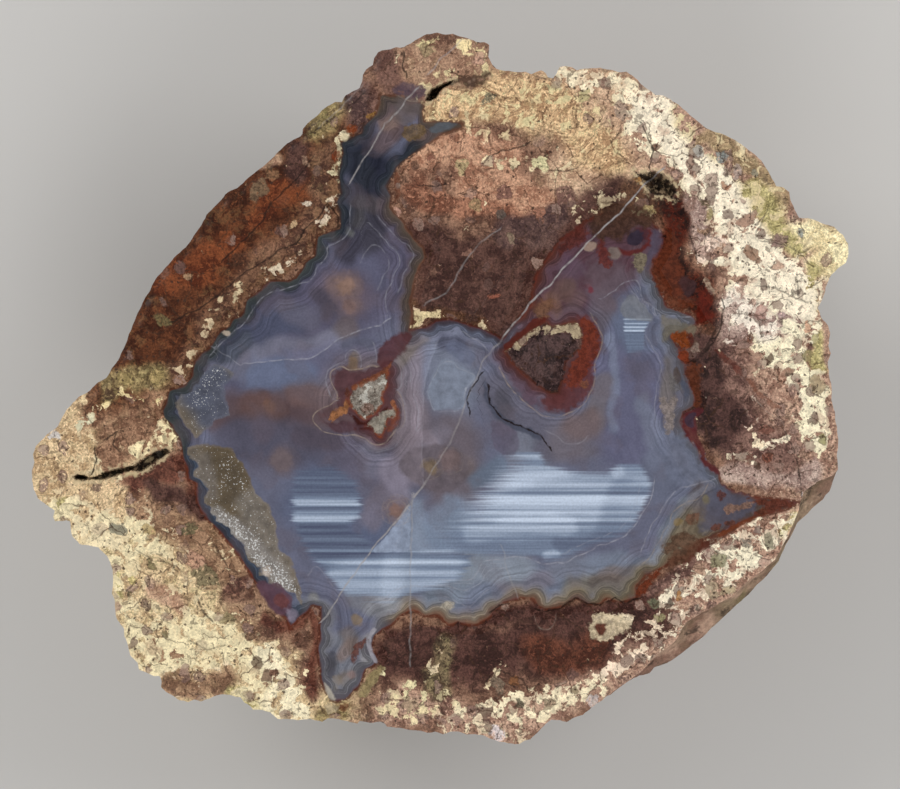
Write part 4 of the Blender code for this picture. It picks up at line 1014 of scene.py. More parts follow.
# A second layer of them, which lies over the hollows too
MORE_PANES = (
    (1.0, (146, 157, 178), 0.85, ((411, 500), (404, 513), (394, 527), (384, 539), (374, 549),
        (374, 552), (411, 552))),
    (1.0, (70, 32, 28), 0.8, ((330, 424), (345, 425), (358, 428), (372, 427), (384, 416),
        (387, 418), (374, 431), (356, 432), (340, 429))),
    (1.0, (196, 176, 136), 0.8, ((124, 473), (129, 471), (136, 473), (138, 477), (132, 479),
        (134, 475), (128, 475))),
    (1.0, (186, 166, 130), 0.8, ((121, 465), (123, 465), (127, 475), (125, 476))),
    (1.0, (104, 96, 88), 0.8, ((154, 452), (160, 449), (164, 454), (158, 458))),
    (1.0, (176, 156, 122), 0.8, ((143, 462), (152, 456), (153, 459), (146, 465))),
    (1.0, (206, 184, 144), 0.8, ((160, 444), (170, 435), (172, 438), (164, 446))),
    (2.0, (120, 64, 44), 0.7, ((393, 400), (400, 410), (399, 420), (392, 430), (386, 434),
        (392, 422), (394, 412))),
    (1.0, (84, 36, 28), 0.9, ((502, 346), (536, 318), (548, 315), (549, 319), (524, 334),
        (506, 352))),
    (1.5, (124, 132, 148), 0.75, ((443, 357), (452, 360), (466, 370), (476, 375), (472, 384),
        (463, 392), (466, 404), (459, 412), (446, 408), (433, 412), (427, 392), (433, 373))),
    (2.0, (100, 106, 128), 0.6, ((446, 342), (462, 342), (474, 352), (474, 366), (460, 362),
        (448, 352))),
    (1.0, (200, 206, 216), 0.7, ((462, 388), (468, 384), (468, 390))),
    (1.5, (92, 84, 100), 0.6, ((490, 418), (504, 424), (520, 434), (518, 452), (506, 458),
        (492, 444))),
    (1.2, (70, 74, 92), 0.7, ((492, 440), (506, 446), (500, 452))),
    (1.5, (104, 62, 60), 0.8, ((274, 595), (282, 592), (289, 598), (289, 607), (281, 609),
        (274, 603))),
    (1.0, (140, 76, 60), 0.8, ((278, 597), (283, 597), (284, 602), (279, 602))),
    (2.0, (136, 126, 142), 0.7, ((284, 612), (294, 608), (298, 614), (291, 627))),
    # A painted shade round the pale grains under the top knob
    (3.0, (104, 74, 58), 0.6, ((452, 82), (462, 77), (474, 75), (490, 74), (494, 79), (482, 88),
        (466, 91), (456, 88))),
    (1.0, (206, 176, 150), 0.8, ((469, 77), (474, 76), (479, 79), (476, 82), (470, 82))),
    (1.0, (196, 164, 136), 0.7, ((485, 77), (490, 76), (492, 79), (488, 81))),
    (1.0, (184, 156, 126), 0.7, ((454, 84), (459, 82), (461, 86), (456, 88))),
    (2.0, (116, 96, 78), 0.8, ((349, 360), (352, 356), (356, 358), (358, 366), (357, 371),
        (350, 371), (348, 366))),
    (2.5, (86, 58, 62), 0.85, ((333, 376), (336, 371), (344, 370), (356, 374), (370, 373),
        (378, 370), (378, 374), (370, 377), (360, 381), (350, 385), (345, 392), (345, 402),
        (338, 398), (334, 388))),
    (2.0, (76, 52, 58), 0.8, ((322, 421), (330, 424), (345, 421), (356, 423), (366, 428),
        (372, 434), (360, 432), (345, 434), (332, 430))),
    (1.0, (60, 24, 18), 0.9, ((347, 410), (356, 417), (363, 422), (372, 420), (380, 415),
        (386, 405), (388, 407), (383, 415), (374, 423), (364, 426), (354, 422))),
    (1.2, (56, 36, 40), 0.60, ((671, 280), (682, 276), (694, 280), (698, 288), (690, 300),
        (684, 296), (682, 288), (673, 286))),
    (1.0, (60, 26, 18), 0.8, ((690, 379), (695, 380), (696, 390), (693, 392), (690, 386))),
    (1.0, (62, 48, 60), 0.9, ((687, 413), (693, 411), (697, 413), (694, 419), (693, 428),
        (688, 428), (684, 422))),
    (1.2, (92, 88, 64), 0.8, ((756, 510), (763, 507), (768, 510), (761, 515))),
    (1.2, (128, 108, 72), 0.7, ((673, 523), (678, 517), (684, 519), (682, 524), (676, 526))),
    (0.8, (104, 54, 34), 0.85, ((716, 534), (730, 526), (745, 519), (758, 515), (768, 513),
        (756, 520), (740, 526), (724, 534), (716, 538))),
    (1.0, (206, 188, 168), 0.6, ((222, 332), (230, 330), (231, 336), (225, 337))),
    (1.0, (74, 60, 50), 0.7, ((672, 372), (678, 364), (682, 378), (676, 388))),
)

# Crumbly mineral patches, over all the panes, and first a painted shadow along the crevice under
# the top knob
CRUSTS_AND_SHADOW = (
    # A painted shadow: the dark line under the top knob, past the sunk crevice
    (1.5, (52, 36, 29), 0.7, ((444, 87), (452, 81), (460, 78), (468, 75), (476, 76), (484, 72),
        (492, 70), (490, 75), (484, 80), (486, 86), (478, 84), (474, 88), (466, 87), (462, 82),
        (455, 82), (448, 88))),
    (2.5, (70, 49, 39), 0.8, ((588, 224), (600, 212), (616, 206), (634, 204), (652, 210),
        (656, 222), (648, 226), (634, 227), (626, 234), (618, 240), (610, 238), (600, 240),
        (594, 236))),
    (1.0, (142, 136, 124), 0.8, ((368, 422), (375, 417), (383, 412), (389, 410), (394, 411),
        (396, 415), (394, 418), (390, 417), (387, 419), (386, 425), (383, 430), (379, 435),
        (375, 432), (373, 427), (369, 426))),
    (1.5, (88, 60, 46), 0.8, ((664, 572), (668, 560), (677, 549), (686, 541), (694, 537),
        (700, 543), (696, 552), (688, 560), (676, 568))),
    (2.0, (84, 40, 34), 0.75, ((578, 222), (591, 234), (584, 243), (566, 252), (556, 258),
        (561, 242))),
    (1.5, (92, 40, 32), 0.8, ((598, 240), (603, 238), (607, 252), (615, 262), (611, 270),
        (601, 266), (596, 254))),
    (2.0, (106, 46, 26), 0.7, ((578, 316), (592, 321), (600, 334), (598, 352), (590, 364),
        (586, 378), (572, 390), (564, 386), (568, 370), (578, 354), (585, 336))),
    (1.2, (122, 76, 52), 0.7, ((582, 378), (588, 380), (588, 390), (581, 388))),
    (1.2, (112, 102, 84), 0.9, ((632, 260), (638, 252), (647, 254), (646, 267), (641, 274),
        (635, 268))),
    (2.0, (108, 78, 60), 0.7, ((532, 316), (538, 307), (548, 299), (556, 300), (552, 309),
        (548, 317), (540, 319))),
    (1.5, (134, 122, 116), 0.75, ((661, 396), (667, 396), (668, 406), (674, 395), (678, 399),
        (674, 412), (673, 428), (668, 436), (664, 430), (665, 418), (661, 414))),
    (1.5, (96, 92, 90), 0.6, ((668, 372), (676, 376), (682, 390), (676, 394), (668, 388))),
    (1.2, (146, 98, 64), 0.9, ((326, 421), (333, 412), (342, 406), (348, 402), (350, 408),
        (344, 414), (335, 420))),
    (1.2, (116, 68, 46), 0.8, ((350, 388), (360, 380), (372, 377), (384, 367), (392, 361),
        (391, 367), (385, 373), (372, 381), (360, 386), (354, 392))),
    (1.0, (134, 84, 58), 0.8, ((389, 399), (395, 400), (398, 408), (397, 418), (395, 410),
        (391, 407))),
    (1.0, (96, 52, 36), 0.7, ((346, 386), (351, 388), (349, 400), (352, 408), (347, 406),
        (345, 396))),
    (1.5, (206, 188, 156), 0.8, ((590, 620), (598, 613), (610, 613), (622, 617), (636, 621),
        (630, 630), (616, 632), (608, 641), (596, 640), (589, 632))),
    (2.0, (88, 42, 26), 0.85, ((655, 258), (662, 250), (664, 240), (668, 230), (673, 230),
        (678, 242), (679, 262), (684, 270), (684, 284), (680, 296), (688, 300), (697, 304),
        (690, 309), (678, 310), (668, 305), (661, 298), (658, 286), (652, 276), (652, 266))),
    (1.5, (60, 38, 38), 0.6, ((671, 280), (682, 276), (694, 280), (698, 288), (690, 300),
        (684, 296), (682, 288), (673, 286))),
    (1.5, (84, 26, 16), 0.85, ((698, 292), (706, 288), (712, 292), (713, 302), (708, 308),
        (714, 314), (712, 322), (704, 320), (698, 328), (695, 322), (698, 310), (699, 300))),
    (1.0, (160, 116, 92), 0.7, ((703, 296), (707, 293), (712, 298), (709, 306), (703, 303))),
    (1.0, (172, 150, 128), 0.7, ((702, 278), (708, 280), (713, 288), (716, 294), (713, 296),
        (709, 288), (703, 283))),
    (1.5, (112, 54, 24), 0.95, ((668, 338), (675, 332), (687, 332), (690, 338), (690, 347),
        (684, 348), (680, 345), (672, 342))),
    (1.0, (84, 34, 24), 0.85, ((687, 331), (693, 334), (696, 340), (690, 348), (688, 342))),
    (1.2, (108, 46, 24), 0.9, ((677, 351), (684, 348), (689, 352), (687, 359), (692, 363),
        (684, 363), (679, 359), (680, 355))),
    (2.0, (88, 46, 30), 0.85, ((690, 363), (701, 364), (702, 374), (699, 384), (700, 396),
        (703, 408), (694, 408), (696, 398), (691, 390), (689, 380), (684, 374), (687, 369))),
    (1.5, (92, 68, 54), 0.85, ((662, 553), (663, 547), (669, 541), (673, 535), (680, 534),
        (684, 528), (689, 530), (689, 536), (698, 535), (696, 541), (687, 545), (683, 548),
        (675, 550), (668, 555))),
    (1.2, (98, 68, 54), 0.8, ((684, 520), (690, 513), (698, 513), (700, 519), (694, 524),
        (686, 523))),
    (1.2, (88, 52, 40), 0.85, ((709, 529), (712, 524), (721, 524), (720, 530), (713, 532))),
    (1.2, (88, 52, 40), 0.85, ((723, 523), (727, 519), (736, 519), (734, 524), (727, 526))),
    (1.2, (86, 50, 44), 0.85, ((715, 493), (722, 489), (726, 497), (720, 501))),
    (1.0, (128, 98, 82), 0.8, ((723, 509), (728, 503), (736, 506), (744, 501), (753, 503),
        (749, 509), (738, 511), (730, 513), (725, 515))),
    (1.5, (92, 48, 36), 0.9, ((746, 498), (760, 499), (780, 500), (798, 502), (786, 508),
        (770, 512), (758, 516), (752, 518), (756, 510), (764, 507), (756, 502))),
    (1.2, (100, 46, 28), 0.9, ((635, 600), (641, 584), (651, 574), (664, 566), (656, 578),
        (644, 594))),
    (1.0, (92, 52, 42), 0.8, ((350, 663), (351, 652), (356, 645), (366, 636), (368, 640),
        (361, 648), (357, 654), (355, 664))),
    (1.2, (96, 54, 38), 0.7, ((393, 172), (399, 170), (401, 186), (399, 200), (394, 204),
        (395, 190))),
    (1.2, (138, 124, 88), 0.8, ((358, 695), (360, 686), (366, 678), (372, 670), (380, 666),
        (385, 667), (380, 677), (372, 688), (366, 697), (361, 699))),
    (1.0, (162, 154, 140), 0.8, ((439, 605), (446, 601), (455, 604), (454, 609), (446, 611),
        (440, 609))),
    (1.0, (88, 40, 30), 0.7, ((713, 347), (722, 352), (731, 360), (739, 366), (745, 377),
        (741, 377), (735, 370), (727, 364), (719, 358))),
    (1.0, (120, 76, 58), 0.6, ((744, 376), (754, 381), (765, 395), (774, 402), (786, 411),
        (772, 407), (762, 400), (752, 387))),
    (1.5, (104, 84, 58), 0.8, ((402, 130), (410, 124), (420, 124), (428, 130), (420, 139),
        (406, 142))),
    (1.0, (176, 160, 132), 0.7, ((324, 705), (332, 703), (340, 707), (338, 714), (326, 713))),
    (1.0, (96, 50, 36), 0.7, ((338, 703), (346, 702), (350, 708), (343, 713))),
)
# Round ones of each layer: softness of the edge, colour, how plain, middle, radius
EYES = (
    (2.5, (112, 98, 102), 0.5, (397, 510), 15),
    (5.0, (112, 96, 98), 0.6, (345, 287), 17),
    (5.0, (106, 92, 96), 0.5, (350, 307), 13),
    (4.0, (98, 76, 72), 0.6, (564, 291), 13),
)
CRUST_EYES = (
    (0.5, (88, 50, 38), 0.95, (602, 628), 8.5),
    (0.4, (150, 122, 104), 0.9, (469, 82), 3.2),
    (0.4, (140, 108, 90), 0.9, (480, 79), 2.8),
    (1.5, (112, 56, 32), 0.85, (352, 130), 5),
    (1.5, (106, 54, 34), 0.8, (337, 155), 4),
)
MORE_EYES = (
    (2.5, (124, 106, 84), 0.7, (430, 467), 7),
    (4.0, (120, 100, 98), 0.55, (450, 460), 11),
    (3.0, (136, 104, 90), 0.6, (397, 510), 7),
    (4.0, (140, 112, 98), 0.7, (345, 286), 9),
    (3.0, (122, 98, 92), 0.6, (349, 306), 7),
    (3.0, (112, 98, 98), 0.5, (282, 460), 11),
    (1.5, (108, 46, 56), 0.8, (590, 290), 3),
    (2.0, (124, 76, 60), 0.7, (343, 377), 5),
    (2.0, (118, 108, 82), 0.7, (705, 500), 4),
    (2.0, (132, 112, 84), 0.7, (357, 620), 6),
    (2.0, (128, 116, 104), 0.6, (337, 680), 5),
    (2.0, (136, 112, 108), 0.6, (352, 674), 4),
    (1.2, (220, 204, 168), 0.8, (344, 137), 4),
    (1.2, (176, 170, 160), 0.7, (398, 185), 3),
)

# Healed planes: one side of each is paler than the other. Strength, reach, line
PLANES = (
    (0.30, 26, ((424, 483), (422, 430), (424, 392), (431, 360), (440, 338))),
    (-0.14, 18, ((410, 600), (411, 540), (413, 495))),
    (0.16, 18, ((244, 364), (262, 362), (288, 360), (309, 359), (325, 349), (341, 337), (360, 331),
        (380, 326), (390, 318))),
)


def smooth_step(value):
    """Ease from 0 to 1 as value goes from 0 to 1."""
    share = min(max(value, 0.0), 1.0)
    return share * share * (3.0 - 2.0 * share)


def smooth_steps(values):
    """The same easing for an array of values."""
    share = np.clip(values, 0.0, 1.0)
    return share * share * (3.0 - 2.0 * share)


def in_metres(points_px):
    """Picture points as places on the cut face, from the middle of the outline."""
    middle_x, middle_y = OUTLINE_MIDDLE_PX
    points = np.asarray(points_px, float)
    return np.stack(((points[:, 0] - middle_x), (middle_y - points[:, 1])), 1) * PIXEL


def in_pixels(places):
    """Places on the cut face as picture points."""
    middle_x, middle_y = OUTLINE_MIDDLE_PX
    return np.stack((places[:, 0] / PIXEL + middle_x, middle_y - places[:, 1] / PIXEL), 1)


def divided_outlines():
    """The cut edge and the widest line of the side, divided finely and made ragged alike."""
    edge = np.array(LEFT_AND_TOP_PX + LOWER_RIGHT_EDGE_PX + BOTTOM_PX, float)
    side = np.array(LEFT_AND_TOP_PX + LOWER_RIGHT_SIDE_PX + BOTTOM_PX, float)
    fine_edge = []
    fine_side = []
    for index in range(len(edge)):
        after = (index + 1) % len(edge)
        length = max(np.linalg.norm(edge[after] - edge[index]),
                     np.linalg.norm(side[after] - side[index]))
        pieces = max(1, round(length / EDGE_STEP_PX))
        for step in range(pieces):
            share = step / pieces
            fine_edge.append(edge[index] + (edge[after] - edge[index]) * share)
            fine_side.append(side[index] + (side[after] - side[index]) * share)
    if len(fine_edge) % 2:
        fine_edge.pop()
        fine_side.pop()
    ragged = slow_moves(fine_edge, EDGE_RAGGEDNESS_PX, EDGE_RAGS_SPACING_PX, EDGE_RAGS_PLACE)
    return np.array(fine_edge) + ragged, np.array(fine_side) + ragged


def smoothed_loop(points, spread):
    """A closed line of points with its corners worn down, grown back to its own size."""
    steps = int(2 * (spread * len(points)) ** 2)
    smooth = points.copy()
    for _ in range(steps):
        smooth = smooth * 0.5 + (np.roll(smooth, 1, 0) + np.roll(smooth, -1, 0)) * 0.25
    mean_before = np.linalg.norm(points, axis=1).mean()
    mean_after = np.linalg.norm(smooth, axis=1).mean()
    return smooth * (mean_before / mean_after)


def area_middle(points):
    """The middle of the area inside a closed line of points."""
    after = np.roll(points, -1, 0)
    cross = points[:, 0] * after[:, 1] - after[:, 0] * points[:, 1]
    return ((points + after) * cross[:, None]).sum(0) / 6.0 / (cross.sum() / 2.0)


def relief(place):
    """How far the rind stands out or in at a place, from its lumps, warts and ledges."""
    height = -RELIEF_SINK
    for spacing, reach, noise_place in LUMPS:
        height += reach * noise.noise(place / spacing + noise_place)
    nearest_wart = noise.voronoi(place / WART_SPACING)[0][0]
    height += WART_REACH * (WART_LEVEL - min(nearest_wart, 1.0) ** 2)
    wave = LEDGE_WAVES * noise.noise(place / LEDGE_WAVE_SPACING + LEDGE_WAVE_PLACE)
    ledge = (place.z / LEDGE_SPACING + wave) % 1.0
    return height + LEDGE_REACH * (0.5 - ledge)


def crumbs(place):
    """The small grains of the rind."""
    return sum(reach * noise.noise(place / spacing + noise_place)
               for spacing, reach, noise_place in CRUMBS)


def dome_ring(level, cut_edge, widest, soft, spot, spot_middle):
    """The ring of points at one level: 0 is the cut edge, 1 is the rim of the resting spot."""
    angle = level * math.pi / 2
    reach = math.cos(angle) ** (2 / DOME_SQUARENESS) if level < 1.0 else 0.0
    depth = DOME_DEPTH * math.sin(angle) ** (2 / DOME_SQUARENESS)
    swell = smooth_step(depth / SWELL_DEPTH)
    worn = smooth_step(level / KNOBS_FADE_BY)
    height = DOME_DEPTH - depth
    ends = smooth_step(height / RELIEF_ENDS_OVER)
    lumpy = smooth_step(depth / RELIEF_STARTS_OVER) * ends
    grainy = smooth_step(depth / CRUMBS_START_OVER) * ends
    outline = cut_edge + (widest - cut_edge) * swell
    outline += (soft - outline) * worn
    flat_places = spot + (outline - spot) * reach
    ring = []
    for flat, soft_point, wide_point in zip(flat_places, soft, widest):
        place = Vector((flat[0], flat[1], height))
        away = soft_point - spot_middle
        outward = Vector((away[0], away[1], 0.0)).normalized() * math.cos(angle)
        outward.z = -math.sin(angle)
        stands_out = relief(place) * lumpy + crumbs(place) * grainy
        place += outward * min(stands_out, height * KEPT_CLEAR_OF_FLOOR)
        from_middle = np.array(place[:2]) - spot_middle
        limit = np.linalg.norm(wide_point - spot_middle) / np.linalg.norm(from_middle)
        inside = spot_middle + from_middle * min(1.0, limit)
        ring.append((inside[0], inside[1], place.z))
    return ring


def dome_rings(cut_edge, widest):
    """All rings of the dome, from the cut edge down to the resting spot, and the spot's middle."""
    soft = smoothed_loop(widest, OUTLINE_SMOOTHING_SPREAD)
    middle = area_middle(soft)
    turn = np.arctan2((soft[:, 1] - middle[1]) / REST_SPOT_HALF_HEIGHT,
                      (soft[:, 0] - middle[0]) / REST_SPOT_HALF_WIDTH)
    spot = middle + np.stack(
        (REST_SPOT_HALF_WIDTH * np.cos(turn), REST_SPOT_HALF_HEIGHT * np.sin(turn)), 1)
    steps = DOME_RINGS + 1
    levels = [(step / steps) ** RINGS_CROWD_UPWARD for step in range(steps + 1)]
    rings = [dome_ring(levels[0], cut_edge, widest, soft, spot, middle)]
    every_other = [line[::2] for line in (cut_edge, widest, soft, spot)]
    rings += [dome_ring(level, *every_other, middle) for level in levels[1:]]
    return rings, middle


def distance_to_line(points, line, closed=False):
    """How far each point is from a line of straight pieces."""
    return line_distances(points, line, closed)[0]


def line_distances(points, line, closed=False):
    """For each point: its distance from a line of straight pieces, the side that it lies on as
    +1 or -1, and how far it lies past the line's ends."""
    corners = np.asarray(line, float)
    if closed:
        corners = np.vstack((corners, corners[:1]))
    if len(corners) == 1:
        away = np.linalg.norm(points - corners[0], axis=1)
        return away, np.ones(len(points)), away
    nearest = np.full(len(points), np.inf)
    side = np.ones(len(points))
    past = np.zeros(len(points))
    for index in range(len(corners) - 1):
        start = corners[index]
        along = corners[index + 1] - start
        length = math.hypot(*along)
        offset_x = points[:, 0] - start[0]
        offset_y = points[:, 1] - start[1]
        reached = (offset_x * along[0] + offset_y * along[1]) / length
        held = np.clip(reached, 0.0, length)
        away = np.hypot(offset_x - along[0] / length * held, offset_y - along[1] / length * held)
        closer = away < nearest
        nearest = np.where(closer, away, nearest)
        cross = along[0] * offset_y - along[1] * offset_x
        side = np.where(closer, np.where(cross < 0, -1.0, 1.0), side)
        over = np.zeros(len(points))
        if index == 0:
            over = np.maximum(over, -reached)
        if index == len(corners) - 2:
            over = np.maximum(over, reached - length)
        past = np.where(closer, over, past)
    return nearest, side, past


def inside_polygon(points, polygon):
    """Which points lie inside a closed line."""
    corners = np.asarray(polygon, float)
    inside = np.zeros(len(points), bool)
    for start, end in zip(corners, np.roll(corners, -1, 0)):
        if start[1] == end[1]:
            continue
        crosses = (start[1] > points[:, 1]) != (end[1] > points[:, 1])
        reach = start[0] + (points[:, 1] - start[1]) * (end[0] - start[0]) / (end[1] - start[1])
        inside ^= crosses & (points[:, 0] < reach)
    return inside


def depth_inside(points, polygon):
    """Distance from a closed line, positive for the points inside it."""
    away = distance_to_line(points, polygon, closed=True)
    return np.where(inside_polygon(points, polygon), away, -away)


def even_grid(low, high, spacing):
    """Picture points in even rows, each row half a step off the one before it."""
    row_step = spacing * math.sqrt(3) / 2
    rows = int((high[1] - low[1]) / row_step) + 1
    columns = int((high[0] - low[0]) / spacing) + 2
    row, column = np.mgrid[0:rows, 0:columns]
    x = low[0] + (column + (row % 2) * 0.5) * spacing
    y = low[1] + row * row_step
    return np.stack((x.ravel(), y.ravel()), 1)


def face_grid(outline_px):
    """Picture points inside the outline, a little clear of it, and closer together where the
    face has hollows."""
    points = even_grid(outline_px.min(0), outline_px.max(0), FACE_STEP_PX)
    points = points[inside_polygon(points, outline_px)]
    for rim, _, _ in HOLLOWS:
        corners = np.array(rim)
        low = corners.min(0) - FINE_MARGIN_PX
        high = corners.max(0) + FINE_MARGIN_PX
        points = points[depth_inside(points, rim) < -FINE_MARGIN_PX]
        fine = even_grid(low, high, FINE_STEP_PX)
        fine = fine[depth_inside(fine, rim) > -FINE_MARGIN_PX + FACE_STEP_PX * 0.5]
        points = np.vstack((points, fine[inside_polygon(fine, outline_px)]))
    tree = kdtree.KDTree(len(outline_px))
    for index, (edge_x, edge_y) in enumerate(outline_px):
        tree.insert((edge_x, edge_y, 0.0), index)
    tree.balance()
    from_edge = np.array([tree.find((px, py, 0.0))[2] for px, py in points])
    clear = from_edge > FACE_CLEAR_OF_EDGE_PX
    return points[clear], from_edge[clear]


def sunk_depths(points_px, from_edge):
    """How far each point of the face lies below it, in the hollows and along the worn rim."""
    sunk = np.zeros(len(points_px))
    for rim, depth, slope_px in HOLLOWS:
        sunk = np.maximum(sunk, depth * smooth_steps(depth_inside(points_px, rim) / slope_px))
    chips = np.array([
        noise.noise(Vector((x / CHIP_SPACING_PX, y / CHIP_SPACING_PX, CHIP_PLACE)))
        for x, y in points_px
    ])
    near = smooth_steps(1.0 - from_edge / WORN_RIM_PX)
    chipped = np.clip(CHIP_LEVEL + chips * CHIP_CONTRAST, 0.0, 1.0)
    return np.maximum(sunk, WORN_RIM_DROP * near * chipped)


def dome_faces(rings, starts):
    """The triangles between the dome's rings, each corner with its place along and down.

    The cut edge has two points for each one of the rings below it."""
    faces = []
    uvs = []
    half = len(rings[1])
    for index in range(half):
        first = 2 * index
        middle = first + 1
        last = (first + 2) % (2 * half)
        lower = starts[1] + index
        lower_after = starts[1] + (index + 1) % half
        faces += [(first, middle, lower), (middle, lower_after, lower),
                  (middle, last, lower_after)]
        uvs += [(first, 0), (middle, 0), (first, 1), (middle, 0), (first + 2, 1), (first, 1),
                (middle, 0), (first + 2, 0), (first + 2, 1)]
    for level in range(1, len(rings) - 1):
        for index in range(half):
            after = (index + 1) % half
            upper, upper_after = starts[level] + index, starts[level] + after
            lower, lower_after = starts[level + 1] + index, starts[level + 1] + after
            faces += [(upper, upper_after, lower_after), (upper, lower_after, lower)]
            left, right = 2 * index, 2 * index + 2
            uvs += [(left, level), (right, level), (right, level + 1),
                    (left, level), (right, level + 1), (left, level + 1)]
    return faces, uvs


Skin = namedtuple("Skin", "mesh points on_face edge_distance edge_index edge_count face_starts")


def build_skin():
    """The mesh of the whole nodule; its picture points and which of them are on the cut face;
    their distances from the edge; the edge point that each point of the side hangs from; how
    many edge points there are; and how many faces come before those of the cut face."""
    edge_px, side_px = divided_outlines()
    cut_edge = in_metres(edge_px)
    widest = in_metres(side_px)
    rings, middle = dome_rings(cut_edge, widest)
    count = len(cut_edge)

    grid_px, from_edge = face_grid(edge_px)
    grid = in_metres(grid_px)
    heights = DOME_DEPTH - sunk_depths(grid_px, from_edge)

    dome_places = [place for ring in rings for place in ring]
    starts = np.cumsum([0] + [len(ring) for ring in rings[:-1]]).tolist()
    spot_index = len(dome_places)
    first_inner = spot_index + 1
    places = dome_places + [(middle[0], middle[1], 0.0)]
    places += [(x, y, z) for (x, y), z in zip(grid, heights)]

    flat_mm = [Vector(place) for place in np.vstack((cut_edge, grid)) / MILLIMETRE]
    loop = list(range(count))[::-1]
    filled = delaunay_2d_cdt(flat_mm, [], [loop], 1, MERGE_MM)
    sources = [origins[0] for origins in filled[3]]
    skin_index = [source if source < count else first_inner + source - count for source in sources]
    face_triangles = [[skin_index[corner] for corner in triangle] for triangle in filled[2]]

    faces, dome_uvs = dome_faces(rings, starts)
    spot_faces = []
    last = starts[-1]
    low_count = len(rings[-1])
    for index in range(low_count):
        spot_faces.append((last + index, last + (index + 1) % low_count, spot_index))

    mesh = bpy.data.meshes.new("nodule_skin")
    mesh.from_pydata(places, [], faces + spot_faces + face_triangles)
    mesh.update()
    unfold(mesh, np.array(dome_uvs, float), len(spot_faces), count, len(rings) - 1)
    face_starts = len(faces) + len(spot_faces)
    skin_px = in_pixels(np.array(places)[:, :2])
    edge_index = np.concatenate(
        [np.arange(count)] + [np.arange(0, count, 2)] * (len(rings) - 1) + [[0]])
    on_face = np.concatenate((np.arange(count), np.arange(first_inner, first_inner + len(grid))))
    edge_distance = np.concatenate((np.zeros(count), from_edge))
    return Skin(mesh, skin_px, on_face, edge_distance, edge_index, count, face_starts)


def unfold(mesh, dome_uvs, spot_faces, count, levels):
    """Lay the skin out flat: the cut face large, the dome as a strip, the spot beside them."""
    layer = mesh.uv_layers.new(name="OFBake")
    corner_verts = np.zeros(len(mesh.loops), int)
    mesh.loops.foreach_get("vertex_index", corner_verts)
    places = np.zeros(len(mesh.vertices) * 3)
    mesh.vertices.foreach_get("co", places)
    places = places.reshape(-1, 3)
    uvs = np.zeros((len(mesh.loops), 2))
    dome_corners = len(dome_uvs)
    spot_corners = spot_faces * 3
    uvs[:dome_corners, 0] = DOME_UV_LEFT + dome_uvs[:, 0] / count * DOME_UV_WIDTH
    dome_height = DOME_UV_TOP - DOME_UV_BOTTOM
    uvs[:dome_corners, 1] = DOME_UV_TOP - dome_uvs[:, 1] / levels * dome_height
    spot = places[corner_verts[dome_corners:dome_corners + spot_corners]]
    uvs[dome_corners:dome_corners + spot_corners] = (
        np.array(SPOT_UV_MIDDLE) + spot[:, :2] * SPOT_UV_PER_METRE)
    face_px = in_pixels(places[corner_verts[dome_corners + spot_corners:]][:, :2])
    low = face_px.min(0)
    high = face_px.max(0)
    uvs[dome_corners + spot_corners:, 0] = FACE_UV_LEFT + (face_px[:, 0] - low[0]) * FACE_UV_PER_PX
    uvs[dome_corners + spot_corners:, 1] = (
        FACE_UV_BOTTOM + (high[1] - face_px[:, 1]) * FACE_UV_PER_PX)
    layer.data.foreach_set("uv", uvs.ravel())


def to_linear(colors):
    """Colours given as 0 to 255 display values, as the shader's linear ones."""
    share = np.asarray(colors, float) / 255.0
    return np.where(share <= 0.04045, share / 12.92, ((share + 0.055) / 1.055) ** 2.4)


def store_value(skin, name, values):
    """Keep one value for each point of the face, 0 elsewhere."""
    every = np.zeros(len(skin.mesh.vertices), np.float32)
    every[skin.on_face] = values
    skin.mesh.attributes.new(name, "FLOAT", "POINT").data.foreach_set("value", every)


def store_place(skin, name, points, places):
    """Keep one flat place for each of these points, 0 elsewhere."""
    every = np.zeros((len(skin.mesh.vertices), 3), np.float32)
    every[points, :2] = places
    kept = skin.mesh.attributes.new(name, "FLOAT_VECTOR", "POINT")
    kept.data.foreach_set("vector", every.ravel())


def store_color(skin, name, colors, others=None, plain=1.0):
    """Keep one colour, given as display values, for each point of the face, and how plain it is
    beside it."""
    every = np.ones((len(skin.mesh.vertices), 4), np.float32)
    if others is not None:
        every[:, :3] = to_linear(others)
    every[skin.on_face, :3] = to_linear(colors)
    every[skin.on_face, 3] = plain
    kept = skin.mesh.attributes.new(name, "FLOAT_COLOR", "POINT")
    kept.data.foreach_set("color", every.ravel())


def slow_moves(points_px, reach, spacing, place):
    """How a slow noise moves each of the points about."""
    return np.array([
        noise.noise_vector(Vector((x / spacing, y / spacing, place)))[:2] for x, y in points_px
    ]) * reach


def wandered(points_px, wanders):
    """The points moved about by slow noises, so that what is painted by them looks grown."""
    moved = points_px
    for reach, spacing, place in wanders:
        moved = moved + slow_moves(moved, reach, spacing, place)
    return moved


def laid_over(points_px, values, line, reach, color, strength=1.0):
    """Values after one soft stroke of a colour along a line."""
    deep = reach - distance_to_line(points_px, line)
    share = strength * smooth_steps(deep / (reach * STROKE_SOFT_SHARE))
    return values + (np.asarray(color, float) - values) * share[:, None]


def rock_paint(points_px):
    """The rock's darker and lighter colours and its shares, and its bright patches' colour and
    share, for each point."""
    grown = wandered(points_px, ROCK_WANDERS)
    values = np.tile(rock_kind("brown"), (len(points_px), 1))
    for name, line, reach in ROCK_ZONES:
        values = laid_over(grown, values, line, reach, rock_kind(name))
    cream = np.tile(np.array(CREAM_BASE), (len(points_px), 1))
    for line, reach, color_and_share in CREAM_STROKES:
        cream = laid_over(grown, cream, line, reach, color_and_share)
    return values, cream


def rock_kind(name):
    """One kind of rock as a row of values."""
    low, high, *shares = ROCK_KINDS[name]
    return np.array((*low, *high, *shares), float)


